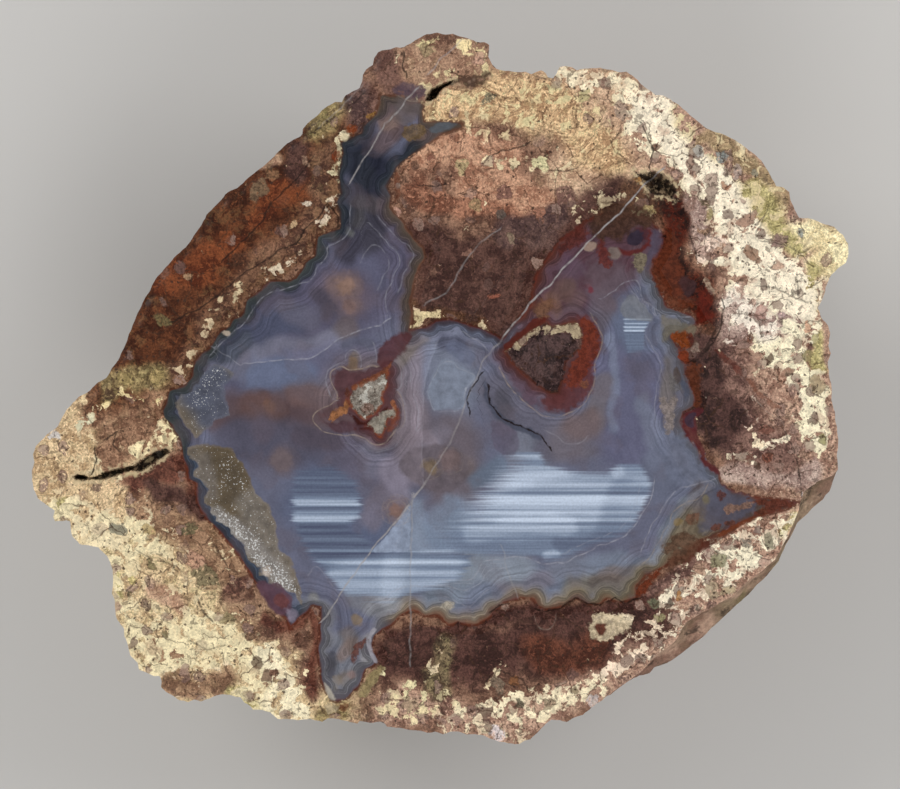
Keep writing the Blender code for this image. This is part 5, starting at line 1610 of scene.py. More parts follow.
def spot_paint(points_px):
    """How deep each point lies in the nearest listed fragment, and that one's colour."""
    close = wandered(points_px, SPOT_WANDERS)
    depth = np.full(len(points_px), SPOT_DEPTH_LIMIT)
    colors = np.zeros((len(points_px), 3))
    for x, y, size, color in ROCK_SPOTS:
        turn = np.dot((x, y), SPOT_TURN) % math.pi
        away = close - (x, y)
        along = away[:, 0] * math.cos(turn) + away[:, 1] * math.sin(turn)
        across = away[:, 1] * math.cos(turn) - away[:, 0] * math.sin(turn)
        across *= SPOT_SLIMNESS
        corner = np.maximum(np.abs(along + across), np.abs(along - across)) * SPOT_CORNER_SHARE
        deeper = size - np.maximum(np.maximum(np.abs(along), np.abs(across)), corner)
        nearer = deeper > depth
        depth = np.where(nearer, deeper, depth)
        colors[nearer] = color
    return depth, colors


def rounded(corners, closed):
    """A line or an outline with its corners cut off twice, so that it runs smoothly."""
    line = np.array(corners, float)
    for cut in CORNER_CUTS_PX:
        starts = line if closed else line[:-1]
        ends = np.roll(line, -1, axis=0) if closed else line[1:]
        lengths = np.maximum(np.linalg.norm(ends - starts, axis=1), SHORTEST_PX)
        share = np.minimum(cut / lengths, CORNER_SHARE_LIMIT)[:, None]
        near, far = starts + (ends - starts) * share, ends + (starts - ends) * share
        middle = np.stack((near, far), 1).reshape(-1, 2)
        line = middle if closed else np.concatenate((line[:1], middle, line[-1:]))
    return line


def pane_paint(points_px, panes):
    """For a layer of panes: how deep each point lies in one, in parts of its edge's softness,
    then that one's colour, and how plain it is."""
    grown = wandered(points_px, PANE_WANDERS)
    depth = np.full(len(points_px), -PANE_DEPTH_LIMIT)
    colors = np.zeros((len(points_px), 3))
    plain = np.zeros(len(points_px))
    for softness, color, strength, corners in panes:
        deep = depth_inside(grown, rounded(corners, True))
        covered = (deep > -softness - PANE_REACH_PX) & (deep / softness > depth)
        depth = np.where(covered, deep / softness, depth)
        colors[covered] = color
        plain = np.where(covered, strength, plain)
    return np.clip(depth, -PANE_DEPTH_LIMIT, PANE_DEPTH_LIMIT), colors, plain


def flow_places(points_px):
    """For each point: its place along and across the arcs that the rock's streaks follow."""
    middle_x, middle_y = FLOW_MIDDLE_PX
    bent = wandered(points_px, FLOW_WANDERS)
    across = np.hypot(bent[:, 0] - middle_x, bent[:, 1] - middle_y)
    turn = np.arctan2(bent[:, 0] - middle_x, middle_y - bent[:, 1])
    return np.stack((turn * FLOW_TURN_PX / FLOW_LENGTH_PX, across / FLOW_WIDTH_PX), 1)


def wall_paint(points_px):
    """The agate's colours at each stop away from the rock, blended between the wall zones."""
    kinds = {name: np.array(colors, float).ravel() for name, colors in WALL_KINDS.items()}
    total = np.zeros((len(points_px), 3 * len(WALL_STOPS)))
    weights = np.zeros(len(points_px))
    for name, line in WALL_ZONES:
        weight = (distance_to_line(points_px, line) + WALL_ZONE_SOFT_PX) ** WALL_ZONE_POWER
        total += weight[:, None] * kinds[name]
        weights += weight
    return total / weights[:, None]


def painted(points_px, base, strokes):
    """Colours after soft strokes over a base, in order."""
    grown = wandered(points_px, STROKE_WANDERS)
    values = np.tile(np.array(base, float), (len(points_px), 1))
    for line, reach, color, strength in strokes:
        values = laid_over(grown, values, line, reach, color, strength)
    return values


def nearest_marks(points_px, marks):
    """For a group of thin lines: each point's signed distance from the nearest one, and how
    plainly that one shows there."""
    nearest = np.full(len(points_px), np.inf)
    signed = np.zeros(len(points_px))
    shown = np.zeros(len(points_px))
    for strength, line in marks:
        away, side, past = line_distances(points_px, line)
        closer = away < nearest
        nearest = np.where(closer, away, nearest)
        signed = np.where(closer, away * side, signed)
        fading = strength * np.clip(1.0 - past / LINE_END_FADE_PX, 0.0, 1.0)
        shown = np.where(closer, fading, shown)
    return signed, shown


def ring_line(middle, radius):
    """A closed ring as a line of points."""
    turns = np.linspace(0.0, 2.0 * math.pi, RING_SIDES + 1)
    return [(middle[0] + radius * math.cos(turn), middle[1] + radius * math.sin(turn))
            for turn in turns]


def scalloped(points_px, depth):
    """Distances from the rock that bulge in scallops, as agate grows from separate places."""
    draw = random.Random(SCALLOP_SEED)
    nearest = np.full(len(points_px), np.inf)
    for outline in (AGATE_BORDER_PX, *ISLANDS_PX):
        corners = np.array((*outline, outline[0]), float)
        reached = np.concatenate(((0.0,), np.cumsum(np.hypot(*np.diff(corners, axis=0).T))))
        place = 0.0
        while place < reached[-1]:
            start = (np.interp(place, reached, corners[:, 0]),
                     np.interp(place, reached, corners[:, 1]))
            nearest = np.minimum(nearest, np.linalg.norm(points_px - start, axis=1))
            place += draw.uniform(*SCALLOP_STEPS_PX)
    bulging = SCALLOP_SHARE * np.clip(depth / SCALLOP_START_PX, 0.0, 1.0)
    return depth + bulging * np.maximum(nearest - depth, 0.0)


def deepest(points, outlines):
    """Distance inside the nearest of several outlines, below 0 outside all of them."""
    return np.max([depth_inside(points, outline) for outline in outlines], axis=0)


def store_depths(skin, points):
    """Keep how deep the points lie in the agate and in its parts, and return their depth in
    what is agate alone."""
    agate = depth_inside(points, AGATE_BORDER_PX)
    islands = deepest(points, ISLANDS_PX)
    depth = np.minimum(agate, -islands)
    past_crusts = np.maximum(-depth_inside(points, CRUSTED_PX), 0.0)
    right_levels = depth_inside(points, RIGHT_LEVELS_PX) * RIGHT_LEVELS_STEEPNESS
    for name, values in (
            ("agate_depth", agate), ("island_depth", islands),
            ("wall", np.minimum(scalloped(points, depth), CRUST_START_PX + past_crusts)),
            ("quartz", deepest(points, QUARTZ_PX)),
            ("hollow", deepest(points, [rim for rim, _, _ in HOLLOWS])),
            ("from_edge", skin.edge_distance),
            ("left_levels", depth_inside(points, LEFT_LEVELS_PX)),
            ("right_levels", np.minimum(right_levels, depth_inside(points, RIGHT_FADE_PX))),
            ("small_levels", depth_inside(points, SMALL_LEVELS_PX))):
        store_value(skin, name, values)
    return depth


def store_lines(skin, points):
    """Keep the groups of thin lines, and the healed planes beside some of them."""
    pale, pale_two, warm = (
        tuple((strength, rounded(line, False)) for strength, line in marks)
        for marks in (PALE_LINES, MORE_PALE_LINES, WARM_LINES))
    rings = warm + tuple(
        (strength, ring_line(middle, radius)) for strength, middle, radius in RINGS)
    grown = wandered(points, LINE_WANDERS)
    for name, marks in (("healed", HEALED_CRACKS), ("pale", pale), ("pale_two", pale_two),
                        ("ring", rings), ("dark", DARK_CRACKS)):
        signed, shown = nearest_marks(grown, marks)
        store_value(skin, name + "_side", signed)
        store_value(skin, name + "_shown", shown)
    for number, (strength, reach, line) in enumerate(PLANES):
        away, side, past = line_distances(grown, line)
        fading = np.clip(1.0 - past / PLANE_END_FADE_PX, 0.0, 1.0)
        shown = strength * smooth_steps(1.0 - away / reach) * fading
        store_value(skin, f"plane_{number}_side", away * side)
        store_value(skin, f"plane_{number}_shown", shown)


def store_shapes(skin, points):
    """Keep the listed fragments of the rock and the three layers of panes."""
    depth, colors = spot_paint(points)
    store_value(skin, "spot_depth", depth)
    store_color(skin, "spot_tint", colors)
    for name, panes, eyes in (("pane", PANES, EYES), ("pane_two", MORE_PANES, MORE_EYES),
                              ("crust", CRUSTS_AND_SHADOW, CRUST_EYES)):
        round_panes = tuple((softness, color, strength, ring_line(middle, radius)[:-1])
                            for softness, color, strength, middle, radius in eyes)
        depth, colors, plain = pane_paint(points, panes + round_panes)
        store_value(skin, name + "_depth", depth)
        store_color(skin, name + "_tint", colors, plain=plain)


def store_rock(skin, points):
    """Keep the rock's colours, which run together down the side, and its shares."""
    rock, cream = rock_paint(points)
    edge_rock = rock[:skin.edge_count]
    for _ in range(SIDE_BLURS):
        edge_rock = sum(np.roll(edge_rock, step, 0) for step in SIDE_STEPS) / len(SIDE_STEPS)
    side_rock = np.zeros((len(skin.mesh.vertices), rock.shape[1]))
    side_rock[:len(skin.edge_index)] = edge_rock[skin.edge_index]
    store_color(skin, "rock_low", rock[:, 0:3], side_rock[:, 0:3])
    store_color(skin, "rock_high", rock[:, 3:6], side_rock[:, 3:6])
    for column, name in enumerate(ROCK_SHARES, 6):
        store_value(skin, name, rock[:, column])
    store_color(skin, "cream_tint", cream[:, :3], plain=cream[:, 3])


def store_agate(skin, points):
    """Keep the colours of the agate and its quartz, and where they are lighter."""
    walls = wall_paint(points)
    for stop in range(len(WALL_STOPS)):
        store_color(skin, f"wall_{stop}", walls[:, 3 * stop:3 * stop + 3])
    store_color(skin, "agate_tint", painted(points, AGATE_BASE, AGATE_STROKES))
    store_color(skin, "quartz_tint", painted(points, QUARTZ_BASE, QUARTZ_STROKES))
    store_value(skin, "sparkle", painted(points, (0.0,), SPARKLES)[:, 0])
    store_value(skin, "level_light", painted(points, (0.0,), LEVEL_LIGHTS)[:, 0])


def store_fields(skin):
    """Keep everything that the shaders read from the skin's points, and return how deep the
    points of the face lie in the agate."""
    points = skin.points[skin.on_face]
    store_place(skin, "picture", slice(None), skin.points)
    depth = store_depths(skin, points)
    store_lines(skin, points)
    store_shapes(skin, points)
    store_place(skin, "flow_place", skin.on_face, flow_places(points))
    store_rock(skin, points)
    store_agate(skin, points)
    return depth


class Signal:
    """One value or colour on its way through a shader, for use in sums."""

    def __init__(self, paint, socket):
        self.paint = paint
        self.socket = socket

    def __add__(self, other):
        return self.paint.sum_of("ADD", self, other)

    def __radd__(self, other):
        return self.paint.sum_of("ADD", other, self)

    def __sub__(self, other):
        return self.paint.sum_of("SUBTRACT", self, other)

    def __rsub__(self, other):
        return self.paint.sum_of("SUBTRACT", other, self)

    def __mul__(self, other):
        return self.paint.sum_of("MULTIPLY", self, other)

    def __rmul__(self, other):
        return self.paint.sum_of("MULTIPLY", other, self)

    def __truediv__(self, other):
        return self.paint.sum_of("DIVIDE", self, other)


class Paint:
    """Builds one material's shader out of small steps."""

    def __init__(self, name):
        self.material = bpy.data.materials.new(name)
        self.material.use_nodes = True
        self.tree = self.material.node_tree
        self.surface = self.tree.nodes["Principled BSDF"]

    def step_node(self, kind, settings, inputs):
        """A new node with these settings, fed with values or signals."""
        node = self.tree.nodes.new(kind)
        for name, value in settings.items():
            setattr(node, name, value)
        for key, value in inputs.items():
            self.feed(node.inputs[key], value)
        return node

    def feed(self, socket, value):
        if isinstance(value, Signal):
            self.tree.links.new(value.socket, socket)
        else:
            socket.default_value = value

    def sum_of(self, operation, first, second=0.0, clamp=False):
        node = self.step_node(
            "ShaderNodeMath", {"operation": operation, "use_clamp": clamp},
            {0: first, 1: second})
        return Signal(self, node.outputs[0])

    def size_of(self, value):
        return self.sum_of("ABSOLUTE", value)

    def stored(self, name, output):
        """What is kept on the skin's points under a name."""
        node = self.step_node("ShaderNodeAttribute", {"attribute_name": name}, {})
        return Signal(self, node.outputs[output])

    def field(self, name):
        """A value kept on the skin's points."""
        return self.stored(name, "Fac")

    def tint(self, name):
        """A colour kept on the skin's points."""
        return self.stored(name, "Color")

    def tint_share(self, name):
        """How plain a colour kept on the skin's points is."""
        return self.stored(name, "Alpha")

    def place(self, name):
        """A place kept on the skin's points."""
        return self.stored(name, "Vector")

    def body_place(self):
        """The place in the nodule's own space, in millimetres."""
        node = self.tree.nodes.new("ShaderNodeTexCoord")
        return self.scaled(Signal(self, node.outputs["Object"]), 1.0 / MILLIMETRE)

    def vector_of(self, operation, inputs):
        """The outcome of one sum with places or colours."""
        node = self.step_node("ShaderNodeVectorMath", {"operation": operation}, inputs)
        return Signal(self, node.outputs[0])

    def scaled(self, vector, scale):
        return self.vector_of("SCALE", {0: vector, "Scale": scale})

    def stretched(self, vector, factors):
        return self.vector_of("MULTIPLY", {0: vector, 1: factors})

    def noise_node(self, place, spacing, detail, rough, flat):
        return self.step_node(
            "ShaderNodeTexNoise", {"noise_dimensions": "2D" if flat else "3D"},
            {"Vector": place, "Scale": 1.0 / spacing, "Detail": detail, "Roughness": rough})

    def noise(self, place, spacing, detail=2.0, rough=0.5, flat=True):
        """A cloudy value from 0 to 1 whose clouds are about spacing apart."""
        return Signal(self, self.noise_node(place, spacing, detail, rough, flat).outputs[0])

    def noise_color(self, place, spacing, detail=2.0, flat=True):
        """Three cloudy values at once, for moving places about."""
        return Signal(self, self.noise_node(place, spacing, detail, 0.5, flat).outputs[1])

    def moved(self, place, cloudy, reach):
        """A place moved about by three cloudy values around a half."""
        return self.vector_of("MULTIPLY_ADD", {0: cloudy, 1: (reach, reach, reach), 2: place})

    def shifted(self, place, x, y):
        return self.vector_of("ADD", {0: place, 1: (x, y, 0.0)})

    def line_noise(self, value, spacing, detail=2.0, rough=0.6):
        """A cloudy value that changes along one value only."""
        node = self.step_node(
            "ShaderNodeTexNoise", {"noise_dimensions": "1D"},
            {"W": value, "Scale": 1.0 / spacing, "Detail": detail, "Roughness": rough})
        return Signal(self, node.outputs[0])

    def cells(self, place, spacing, flat=True):
        """Scattered cells: the distance from the nearest middle, and a random value for it."""
        node = self.step_node(
            "ShaderNodeTexVoronoi", {"voronoi_dimensions": "2D" if flat else "3D"},
            {"Vector": place, "Scale": 1.0 / spacing})
        parts = self.step_node(
            "ShaderNodeSeparateColor", {}, {0: Signal(self, node.outputs["Color"])})
        return (Signal(self, node.outputs["Distance"]), Signal(self, parts.outputs[0]),
                Signal(self, parts.outputs[1]))

    def cell_edges(self, place, spacing):
        """Distance from the nearest edge between cells."""
        node = self.step_node(
            "ShaderNodeTexVoronoi",
            {"voronoi_dimensions": "2D", "feature": "DISTANCE_TO_EDGE"},
            {"Vector": place, "Scale": 1.0 / spacing})
        return Signal(self, node.outputs["Distance"])

    def height_of(self, place):
        """The second part of a place."""
        node = self.step_node("ShaderNodeSeparateXYZ", {}, {0: place})
        return Signal(self, node.outputs[1])

    def ease(self, value, low, high):
        """Smoothly from 0 to 1 as value goes from low to high."""
        node = self.step_node(
            "ShaderNodeMapRange", {"interpolation_type": "SMOOTHSTEP"},
            {"Value": value, "From Min": low, "From Max": high})
        return Signal(self, node.outputs[0])

    def share(self, value, low, high):
        """Evenly from 0 to 1 as value goes from low to high."""
        node = self.step_node(
            "ShaderNodeMapRange", {}, {"Value": value, "From Min": low, "From Max": high})
        return Signal(self, node.outputs[0])

    def stripe(self, signed, half_width, soft):
        """1 on a line, from the signed distance from it."""
        return self.ease(self.size_of(signed), half_width + soft, half_width)

    def mix(self, share, first, second):
        """From the first colour to the second one."""
        node = self.step_node(
            "ShaderNodeMix", {"data_type": "RGBA"}, {0: share, 6: first, 7: second})
        return Signal(self, node.outputs[2])

    def mix_value(self, share, first, second):
        node = self.step_node("ShaderNodeMix", {}, {0: share, 2: first, 3: second})
        return Signal(self, node.outputs[0])

    def lit(self, color, factor):
        """A colour made brighter or darker by a factor."""
        return self.scaled(color, factor)

    def from_stops(self, value, stops):
        """A value that follows stops along another one, in parts that a ramp can hold."""
        result = None
        for first in range(0, len(stops) - 1, RAMP_STOPS - 1):
            part = stops[first:first + RAMP_STOPS]
            low = part[0][0]
            high = part[-1][0]
            node = self.step_node("ShaderNodeValToRGB", {}, {0: self.share(value, low, high)})
            elements = node.color_ramp.elements
            elements[0].position = 0.0
            elements[1].position = 1.0
            for place, _ in part[1:-1]:
                elements.new((place - low) / (high - low))
            for element, (_, height) in zip(elements, part):
                element.color = (height, height, height, 1.0)
            piece = Signal(self, node.outputs[0])
            if result is None:
                result = piece
            else:
                passed = self.ease(value, low - RAMP_JOIN_PX, low + RAMP_JOIN_PX)
                result = self.mix_value(passed, result, piece)
        return result

    def finish(self, color, roughness, height=None, bump=0.0, shine=0.5):
        self.feed(self.surface.inputs["Base Color"], color)
        self.feed(self.surface.inputs["Roughness"], roughness)
        self.surface.inputs["Specular IOR Level"].default_value = shine
        if height is not None:
            node = self.step_node(
                "ShaderNodeBump", {}, {"Height": height, "Distance": bump, "Strength": 1.0})
            self.feed(self.surface.inputs["Normal"], Signal(self, node.outputs[0]))
        return self.material


def shade(name):
    """One of the plain colours, as the shader takes it."""
    return (*to_linear(TONES[name]), 1.0)


def rock_color(paint, place):
    """The rock: clouds of tone, streaks, bright patches, fragments, flecks, specks and cracks."""
    bent = paint.moved(place, paint.noise_color(place, 16.0, 3.0), 10.0)
    crooked = paint.moved(bent, paint.noise_color(place, 5.0, 2.0), 4.0)
    tone = paint.noise(bent, 24.0, detail=5.0, rough=0.62)
    middle = paint.noise(crooked, 8.0, detail=3.0, rough=0.65)
    hue = paint.noise(paint.shifted(bent, 310.0, 70.0), 20.0, 3.0)
    low, high = paint.tint("rock_low"), paint.tint("rock_high")
    mixture = tone * 0.62 + middle * 0.38
    color = paint.mix(paint.ease(mixture, 0.42, 0.58), low, high)
    color = paint.mix(paint.ease(hue, 0.50, 0.62) * 0.3, color, paint.lit(low, 1.3))
    stained = paint.ease(hue, 0.52, 0.44) * paint.ease(middle, 0.46, 0.54)
    color = paint.mix(stained * paint.field("green") * 0.6, color, shade("green_stain"))

    # Streaks that flow round with the rock
    streak = paint.noise(paint.place("flow_place"), 1.0, detail=3.0, rough=0.62)
    flowing = paint.field("flow") * paint.ease(tone, 0.36, 0.50)
    color = paint.mix(paint.ease(streak, 0.53, 0.60) * flowing * 0.8, color,
                      paint.lit(high, 1.25))
    color = paint.mix(paint.ease(streak, 0.45, 0.38) * flowing * 0.75, color, paint.lit(low, 0.6))

    # Fragments and stains that were placed one by one, then scattered ones
    away, pick, kind = paint.cells(crooked, 17.0)
    fragment = paint.ease(away + (middle - 0.5) * 0.3, 0.36, 0.31)
    fragment = fragment * paint.ease(paint.field("fragments") * 0.8 - pick, -0.05, 0.05)
    fragment_color = paint.mix(kind, shade("dark_fragment"), shade("pale_fragment"))
    outline = paint.stripe(away + (middle - 0.5) * 0.3 - 0.35, 0.02, 0.05)
    outline = outline * paint.ease(paint.field("fragments") * 0.8 - pick, -0.05, 0.05)

    # Bright patches, with brown where they end
    patches = paint.noise(paint.shifted(crooked, 140.0, 500.0), 13.0, detail=4.0, rough=0.62)
    patches = patches + paint.tint_share("cream_tint") * 0.5 - 0.75 + (streak - 0.5) * flowing * 0.3
    bright = paint.ease(patches, -0.012, 0.03)
    brink = paint.stripe(patches, 0.002, 0.020) * paint.ease(hue, 0.46, 0.54)
    glow = paint.noise(paint.shifted(crooked, 800.0, 30.0), 9.0, detail=4.0, rough=0.7)
    cream = paint.lit(paint.tint("cream_tint"), paint.share(glow, 0.25, 0.75) * 0.66 + 0.62)
    cream = paint.mix(paint.ease(tone + patches * 0.8, 0.56, 0.44) * 0.55, cream, high)
    color = paint.mix(bright, color, cream)
    color = paint.mix(brink * 0.5, color, shade("patch_brink"))
    color = paint.mix(fragment * 0.75, color, fragment_color)
    outline = outline * paint.ease(middle, 0.44, 0.52)
    color = paint.mix(outline * 0.6, color, shade("fragment_outline"))
    spot_edge = paint.field("spot_depth") + (middle - 0.5) * 12.0
    placed = paint.ease(spot_edge, -0.9, 1.1)
    flake = paint.noise(paint.shifted(crooked, 50.0, 220.0), 4.6, detail=3.0, rough=0.6)
    spot = paint.lit(paint.tint("spot_tint"), paint.share(flake, 0.3, 0.7) * 0.6 + 0.7)
    color = paint.mix(placed * 0.85, color, spot)
    around = paint.stripe(spot_edge, 0.1, 1.2) * paint.ease(tone, 0.44, 0.54)
    color = paint.mix(around * 0.5, color, shade("spot_outline"))

    # Bright flecks, dark specks, and a broken net of fine cracks and veins
    flakes = paint.ease(flake + paint.field("flecks") * 0.10, 0.64, 0.68) * (1.0 - bright)
    color = paint.mix(flakes * 0.7, color, paint.lit(high, 1.3))
    bristly = paint.moved(place, paint.noise_color(place, 3.2, 2.0), 3.6)
    dot, chance, wide = paint.cells(bristly, 6.2)
    often = paint.field("specks") * 0.22 + (hue - 0.5) * 1.3
    specks = paint.ease(dot - wide * 0.14, 0.13, 0.06) * paint.ease(often - chance, -0.04, 0.04)
    blots = paint.ease(flake + (hue - 0.5) * 0.5, 0.375, 0.35) * paint.field("specks")
    specks = paint.sum_of("MAXIMUM", specks, blots * 0.8)
    color = paint.mix(specks * 0.85, color, shade("speck"))
    net = paint.cell_edges(crooked, 34.0)
    cracked = paint.ease(net, 0.030, 0.010) * paint.ease(hue, 0.47, 0.53)
    color = paint.mix(cracked * 0.65, color, shade("rock_crack"))
    vein = paint.noise(paint.shifted(bent, 700.0, 100.0), 40.0, 3.0, 0.6)
    vein = paint.stripe(vein - 0.5, 0.001, 0.005) * paint.ease(hue, 0.52, 0.46)
    color = paint.mix(vein * 0.5, color, paint.lit(high, 1.3))

    worn = paint.ease(paint.field("from_edge") + middle * 8.0, 8.0, 3.0)
    color = paint.mix(worn * 0.3, color, paint.lit(high, 1.15))
    grain = paint.noise(place, 2.2, detail=2.0, rough=0.7)
    return paint.lit(color, (grain - 0.5) * (GRAIN_CONTRAST - bright * 0.95) + 1.0)


def level_color(paint, level):
    """The colour of a level band from how white it is."""
    darker = paint.mix(paint.share(level, 0.0, 0.5), shade("dark_level"), shade("middle_level"))
    return paint.mix(paint.share(level, 0.5, 1.0), darker, shade("white_level"))


def agate_color(paint, place):
    """The agate: bands along its walls, soft clouds further in, level bands, quartz, lines."""
    wobble = paint.noise(place, 13.0, detail=3.0)
    wall = paint.field("wall") + (wobble - 0.5) * 3.4
    color = paint.tint("wall_0")
    for stop in range(1, len(WALL_STOPS)):
        passed = paint.ease(wall, WALL_STOPS[stop - 1], WALL_STOPS[stop])
        color = paint.mix(passed, color, paint.tint(f"wall_{stop}"))
    color = paint.mix(paint.ease(wall, 8.0, 21.0), color, paint.tint("agate_tint"))

    # Fine banding that follows the walls, strongest near them, and clouds further in
    slow = paint.noise(place, 46.0, detail=1.0)
    along = wall + slow * 12.0
    plain = paint.ease(wall, 46.0, 6.0) * 0.94 + 0.06
    bands = paint.line_noise(along, 4.6, 2.0, 0.7)
    color = paint.lit(color, (paint.ease(bands, 0.34, 0.66) - 0.5) * plain * 0.62 + 1.0)
    threads = paint.ease(paint.line_noise(along + 300.0, 2.6, 1.0), 0.60, 0.70)
    threads = threads * paint.ease(wall, 36.0, 8.0) * paint.ease(wobble, 0.38, 0.56)
    color = paint.mix(threads * 0.55, color, paint.lit(color, 1.75))
    clouds = paint.noise(paint.moved(place, paint.noise_color(place, 30.0, 2.0), 30.0), 22.0, 4.0)
    color = paint.lit(color, (clouds - 0.5) * 0.5 + 1.0)
    warmth = paint.noise(paint.shifted(place, 90.0, 400.0), 34.0, 3.0)
    color = paint.mix(paint.ease(warmth, 0.50, 0.66) * 0.25, color, shade("warm_cloud"))

    # Level bands, their ends fading into the cloudy agate at different lengths
    streaks = paint.noise(paint.stretched(place, (0.012, 0.55, 1.0)), 1.0, detail=2.0)
    height = paint.height_of(place)
    for name, bands_of, reach, soft in (
            ("left_levels", LEFT_BANDS, 14.0, 7.0), ("right_levels", RIGHT_BANDS, 34.0, 30.0),
            ("small_levels", SMALL_BANDS, 4.0, 3.0)):
        covered = paint.ease(paint.field(name) + (streaks - 0.5) * reach, 0.0, soft)
        level = paint.from_stops(height, bands_of) + (streaks - 0.5) * 0.25
        level = (level + paint.field("level_light") - 0.55) * 1.2 + 0.55
        color = paint.mix(covered * 0.92, color, level_color(paint, level))

    # Coarse quartz: cloudy, with painted glints of its facets in rows
    edge = paint.sum_of("MINIMUM", paint.field("quartz"), wall - 11.0) + (wobble - 0.5) * 8.0
    cloudy = paint.noise(place, 12.0, detail=4.0, rough=0.65)
    quartz = paint.lit(paint.tint("quartz_tint"), paint.share(cloudy, 0.2, 0.8) * 0.7 + 0.65)
    facet_glint = paint.noise(place, 2.1, detail=2.0, rough=0.7) + (cloudy - 0.5) * 0.25
    facet_glint = paint.ease(facet_glint + paint.field("sparkle") * 0.15, 0.68, 0.74)
    quartz = paint.mix(facet_glint * 0.9, quartz, shade("quartz_glint"))
    color = paint.mix(paint.ease(edge, -1.5, 2.0) * 0.95, color, quartz)
    rim = paint.stripe(edge - 0.5, 0.6, 1.6)
    color = paint.mix(rim * 0.55, color, paint.lit(paint.tint("quartz_tint"), 1.35))

    grain = paint.noise(place, 2.2, detail=2.0)
    return paint.lit(color, (grain - 0.5) * 0.34 + 1.0)


def laid_pane(paint, color, layer, ragged, mottled):
    """A colour after one layer of panes, the first of which stays off the islands."""
    share = paint.ease(paint.field(layer + "_depth") + (ragged - 0.5) * 2.4, -1.0, 1.0)
    if layer == "pane":
        off_islands = paint.ease(paint.field("island_depth") + (ragged - 0.5) * 5.0, 1.0, -1.0)
        share = share * off_islands
    tint = paint.lit(paint.tint(layer + "_tint"), paint.share(mottled, 0.2, 0.8) * 0.7 + 0.65)
    return paint.mix(share * paint.tint_share(layer + "_tint"), color, tint)


def crossing_marks(paint, place, color):
    """What lies over rock and agate alike: panes, thin lines, cracks and the hollows."""
    ragged = paint.noise(place, 6.0, 3.0)
    mottled = paint.noise(paint.shifted(place, 60.0, 900.0), 9.0, detail=4.0, rough=0.7)
    color = laid_pane(paint, color, "pane", ragged, mottled)

    # The hollows: broken edges with pale lips, and inside them a painted shadow over brown rock,
    # with paler chips
    broken = paint.noise(place, 3.6, 3.0, 0.65)
    depth = paint.field("hollow") + (ragged - 0.5) * 5.0 + (broken - 0.5) * 7.0
    lip = paint.ease(depth, -5.0, -1.0) * paint.ease(ragged, 0.38, 0.56)
    color = paint.mix(lip * 0.75, color, shade("hollow_lip"))
    hollow = paint.ease(depth, -0.6, 1.0)
    inside = paint.mix(paint.ease(mottled, 0.45, 0.7), shade("hollow_shadow"), shade("hollow_rock"))
    chips = paint.ease(broken + (ragged - 0.5) * 0.8, 0.56, 0.62)
    inside = paint.mix(chips * 0.7, inside, shade("hollow_chip"))
    color = paint.mix(hollow * 0.95, color, inside)
    color = laid_pane(paint, color, "pane_two", ragged, mottled)
    # The crusts over everything; the first of them is a painted shadow under the top knob
    crumbs = paint.noise(paint.shifted(place, 400.0, 20.0), 5.0, detail=5.0, rough=0.8)
    gritty = paint.share(crumbs, 0.3, 0.7) * 1.2 + paint.share(mottled, 0.2, 0.8) * 0.8 - 0.5
    color = laid_pane(paint, color, "crust", (ragged - 0.5) * 2.2 + (broken - 0.5) * 1.6 + 0.5,
                      gritty)
    for number in range(len(PLANES)):
        pale = paint.ease(paint.field(f"plane_{number}_side"), 0.8, -0.8)
        shown = paint.field(f"plane_{number}_shown")
        color = paint.lit(color, pale * shown + 1.0)
    for name in ("pale", "pale_two", "ring"):
        line = paint.stripe(paint.field(name + "_side"), 0.1, 1.1) * paint.field(name + "_shown")
        shown = line * paint.share(ragged, 0.25, 0.7) * 0.85
        color = paint.mix(shown, color, shade(name + "_line"))
    healed = paint.stripe(paint.field("healed_side"), 0.2, 1.2) * paint.field("healed_shown")
    color = paint.mix(healed * paint.share(ragged, 0.1, 0.6) * 0.9, color, shade("healed_line"))
    side = paint.field("dark_side") + (ragged - 0.5) * 3.0
    dark = paint.stripe(side, 0.3, 1.1) * paint.field("dark_shown")
    color = paint.mix(dark * paint.share(ragged, 0.1, 0.5) * 0.9, color, shade("dark_line"))
    return color


def cut_rock_material():
    paint = Paint("cut_rock")
    place = paint.place("picture")
    color = rock_color(paint, place)
    return paint.finish(crossing_marks(paint, place, color), 0.42, shine=0.2)


def agate_material():
    paint = Paint("agate")
    place = paint.place("picture")
    color = agate_color(paint, place)
    return paint.finish(crossing_marks(paint, place, color), 0.14)


def border_material():
    """Rock and agate where they meet, on both sides of their border."""
    paint = Paint("rock_and_agate")
    place = paint.place("picture")
    rough_line = paint.noise(place, 5.0, detail=2.0)
    edge = paint.sum_of("MINIMUM", paint.field("agate_depth"), paint.field("island_depth") * -1.0)
    edge = edge + (rough_line - 0.5) * 3.0
    rock = rock_color(paint, place)
    crust = paint.ease(edge, -6.0, -2.0) * paint.ease(rough_line, 0.48, 0.60)
    rock = paint.mix(crust * 0.45, rock, paint.lit(paint.tint("rock_high"), 1.2))
    agate = agate_color(paint, place)
    color = paint.mix(paint.ease(edge, -0.8, 0.8), rock, agate)
    rim = paint.stripe(edge + 0.6, 0.2, 1.6) * paint.ease(rough_line, 0.36, 0.52)
    color = paint.mix(rim * 0.8, color, paint.lit(paint.tint("wall_0"), 0.8))
    return paint.finish(crossing_marks(paint, place, color), 0.2)


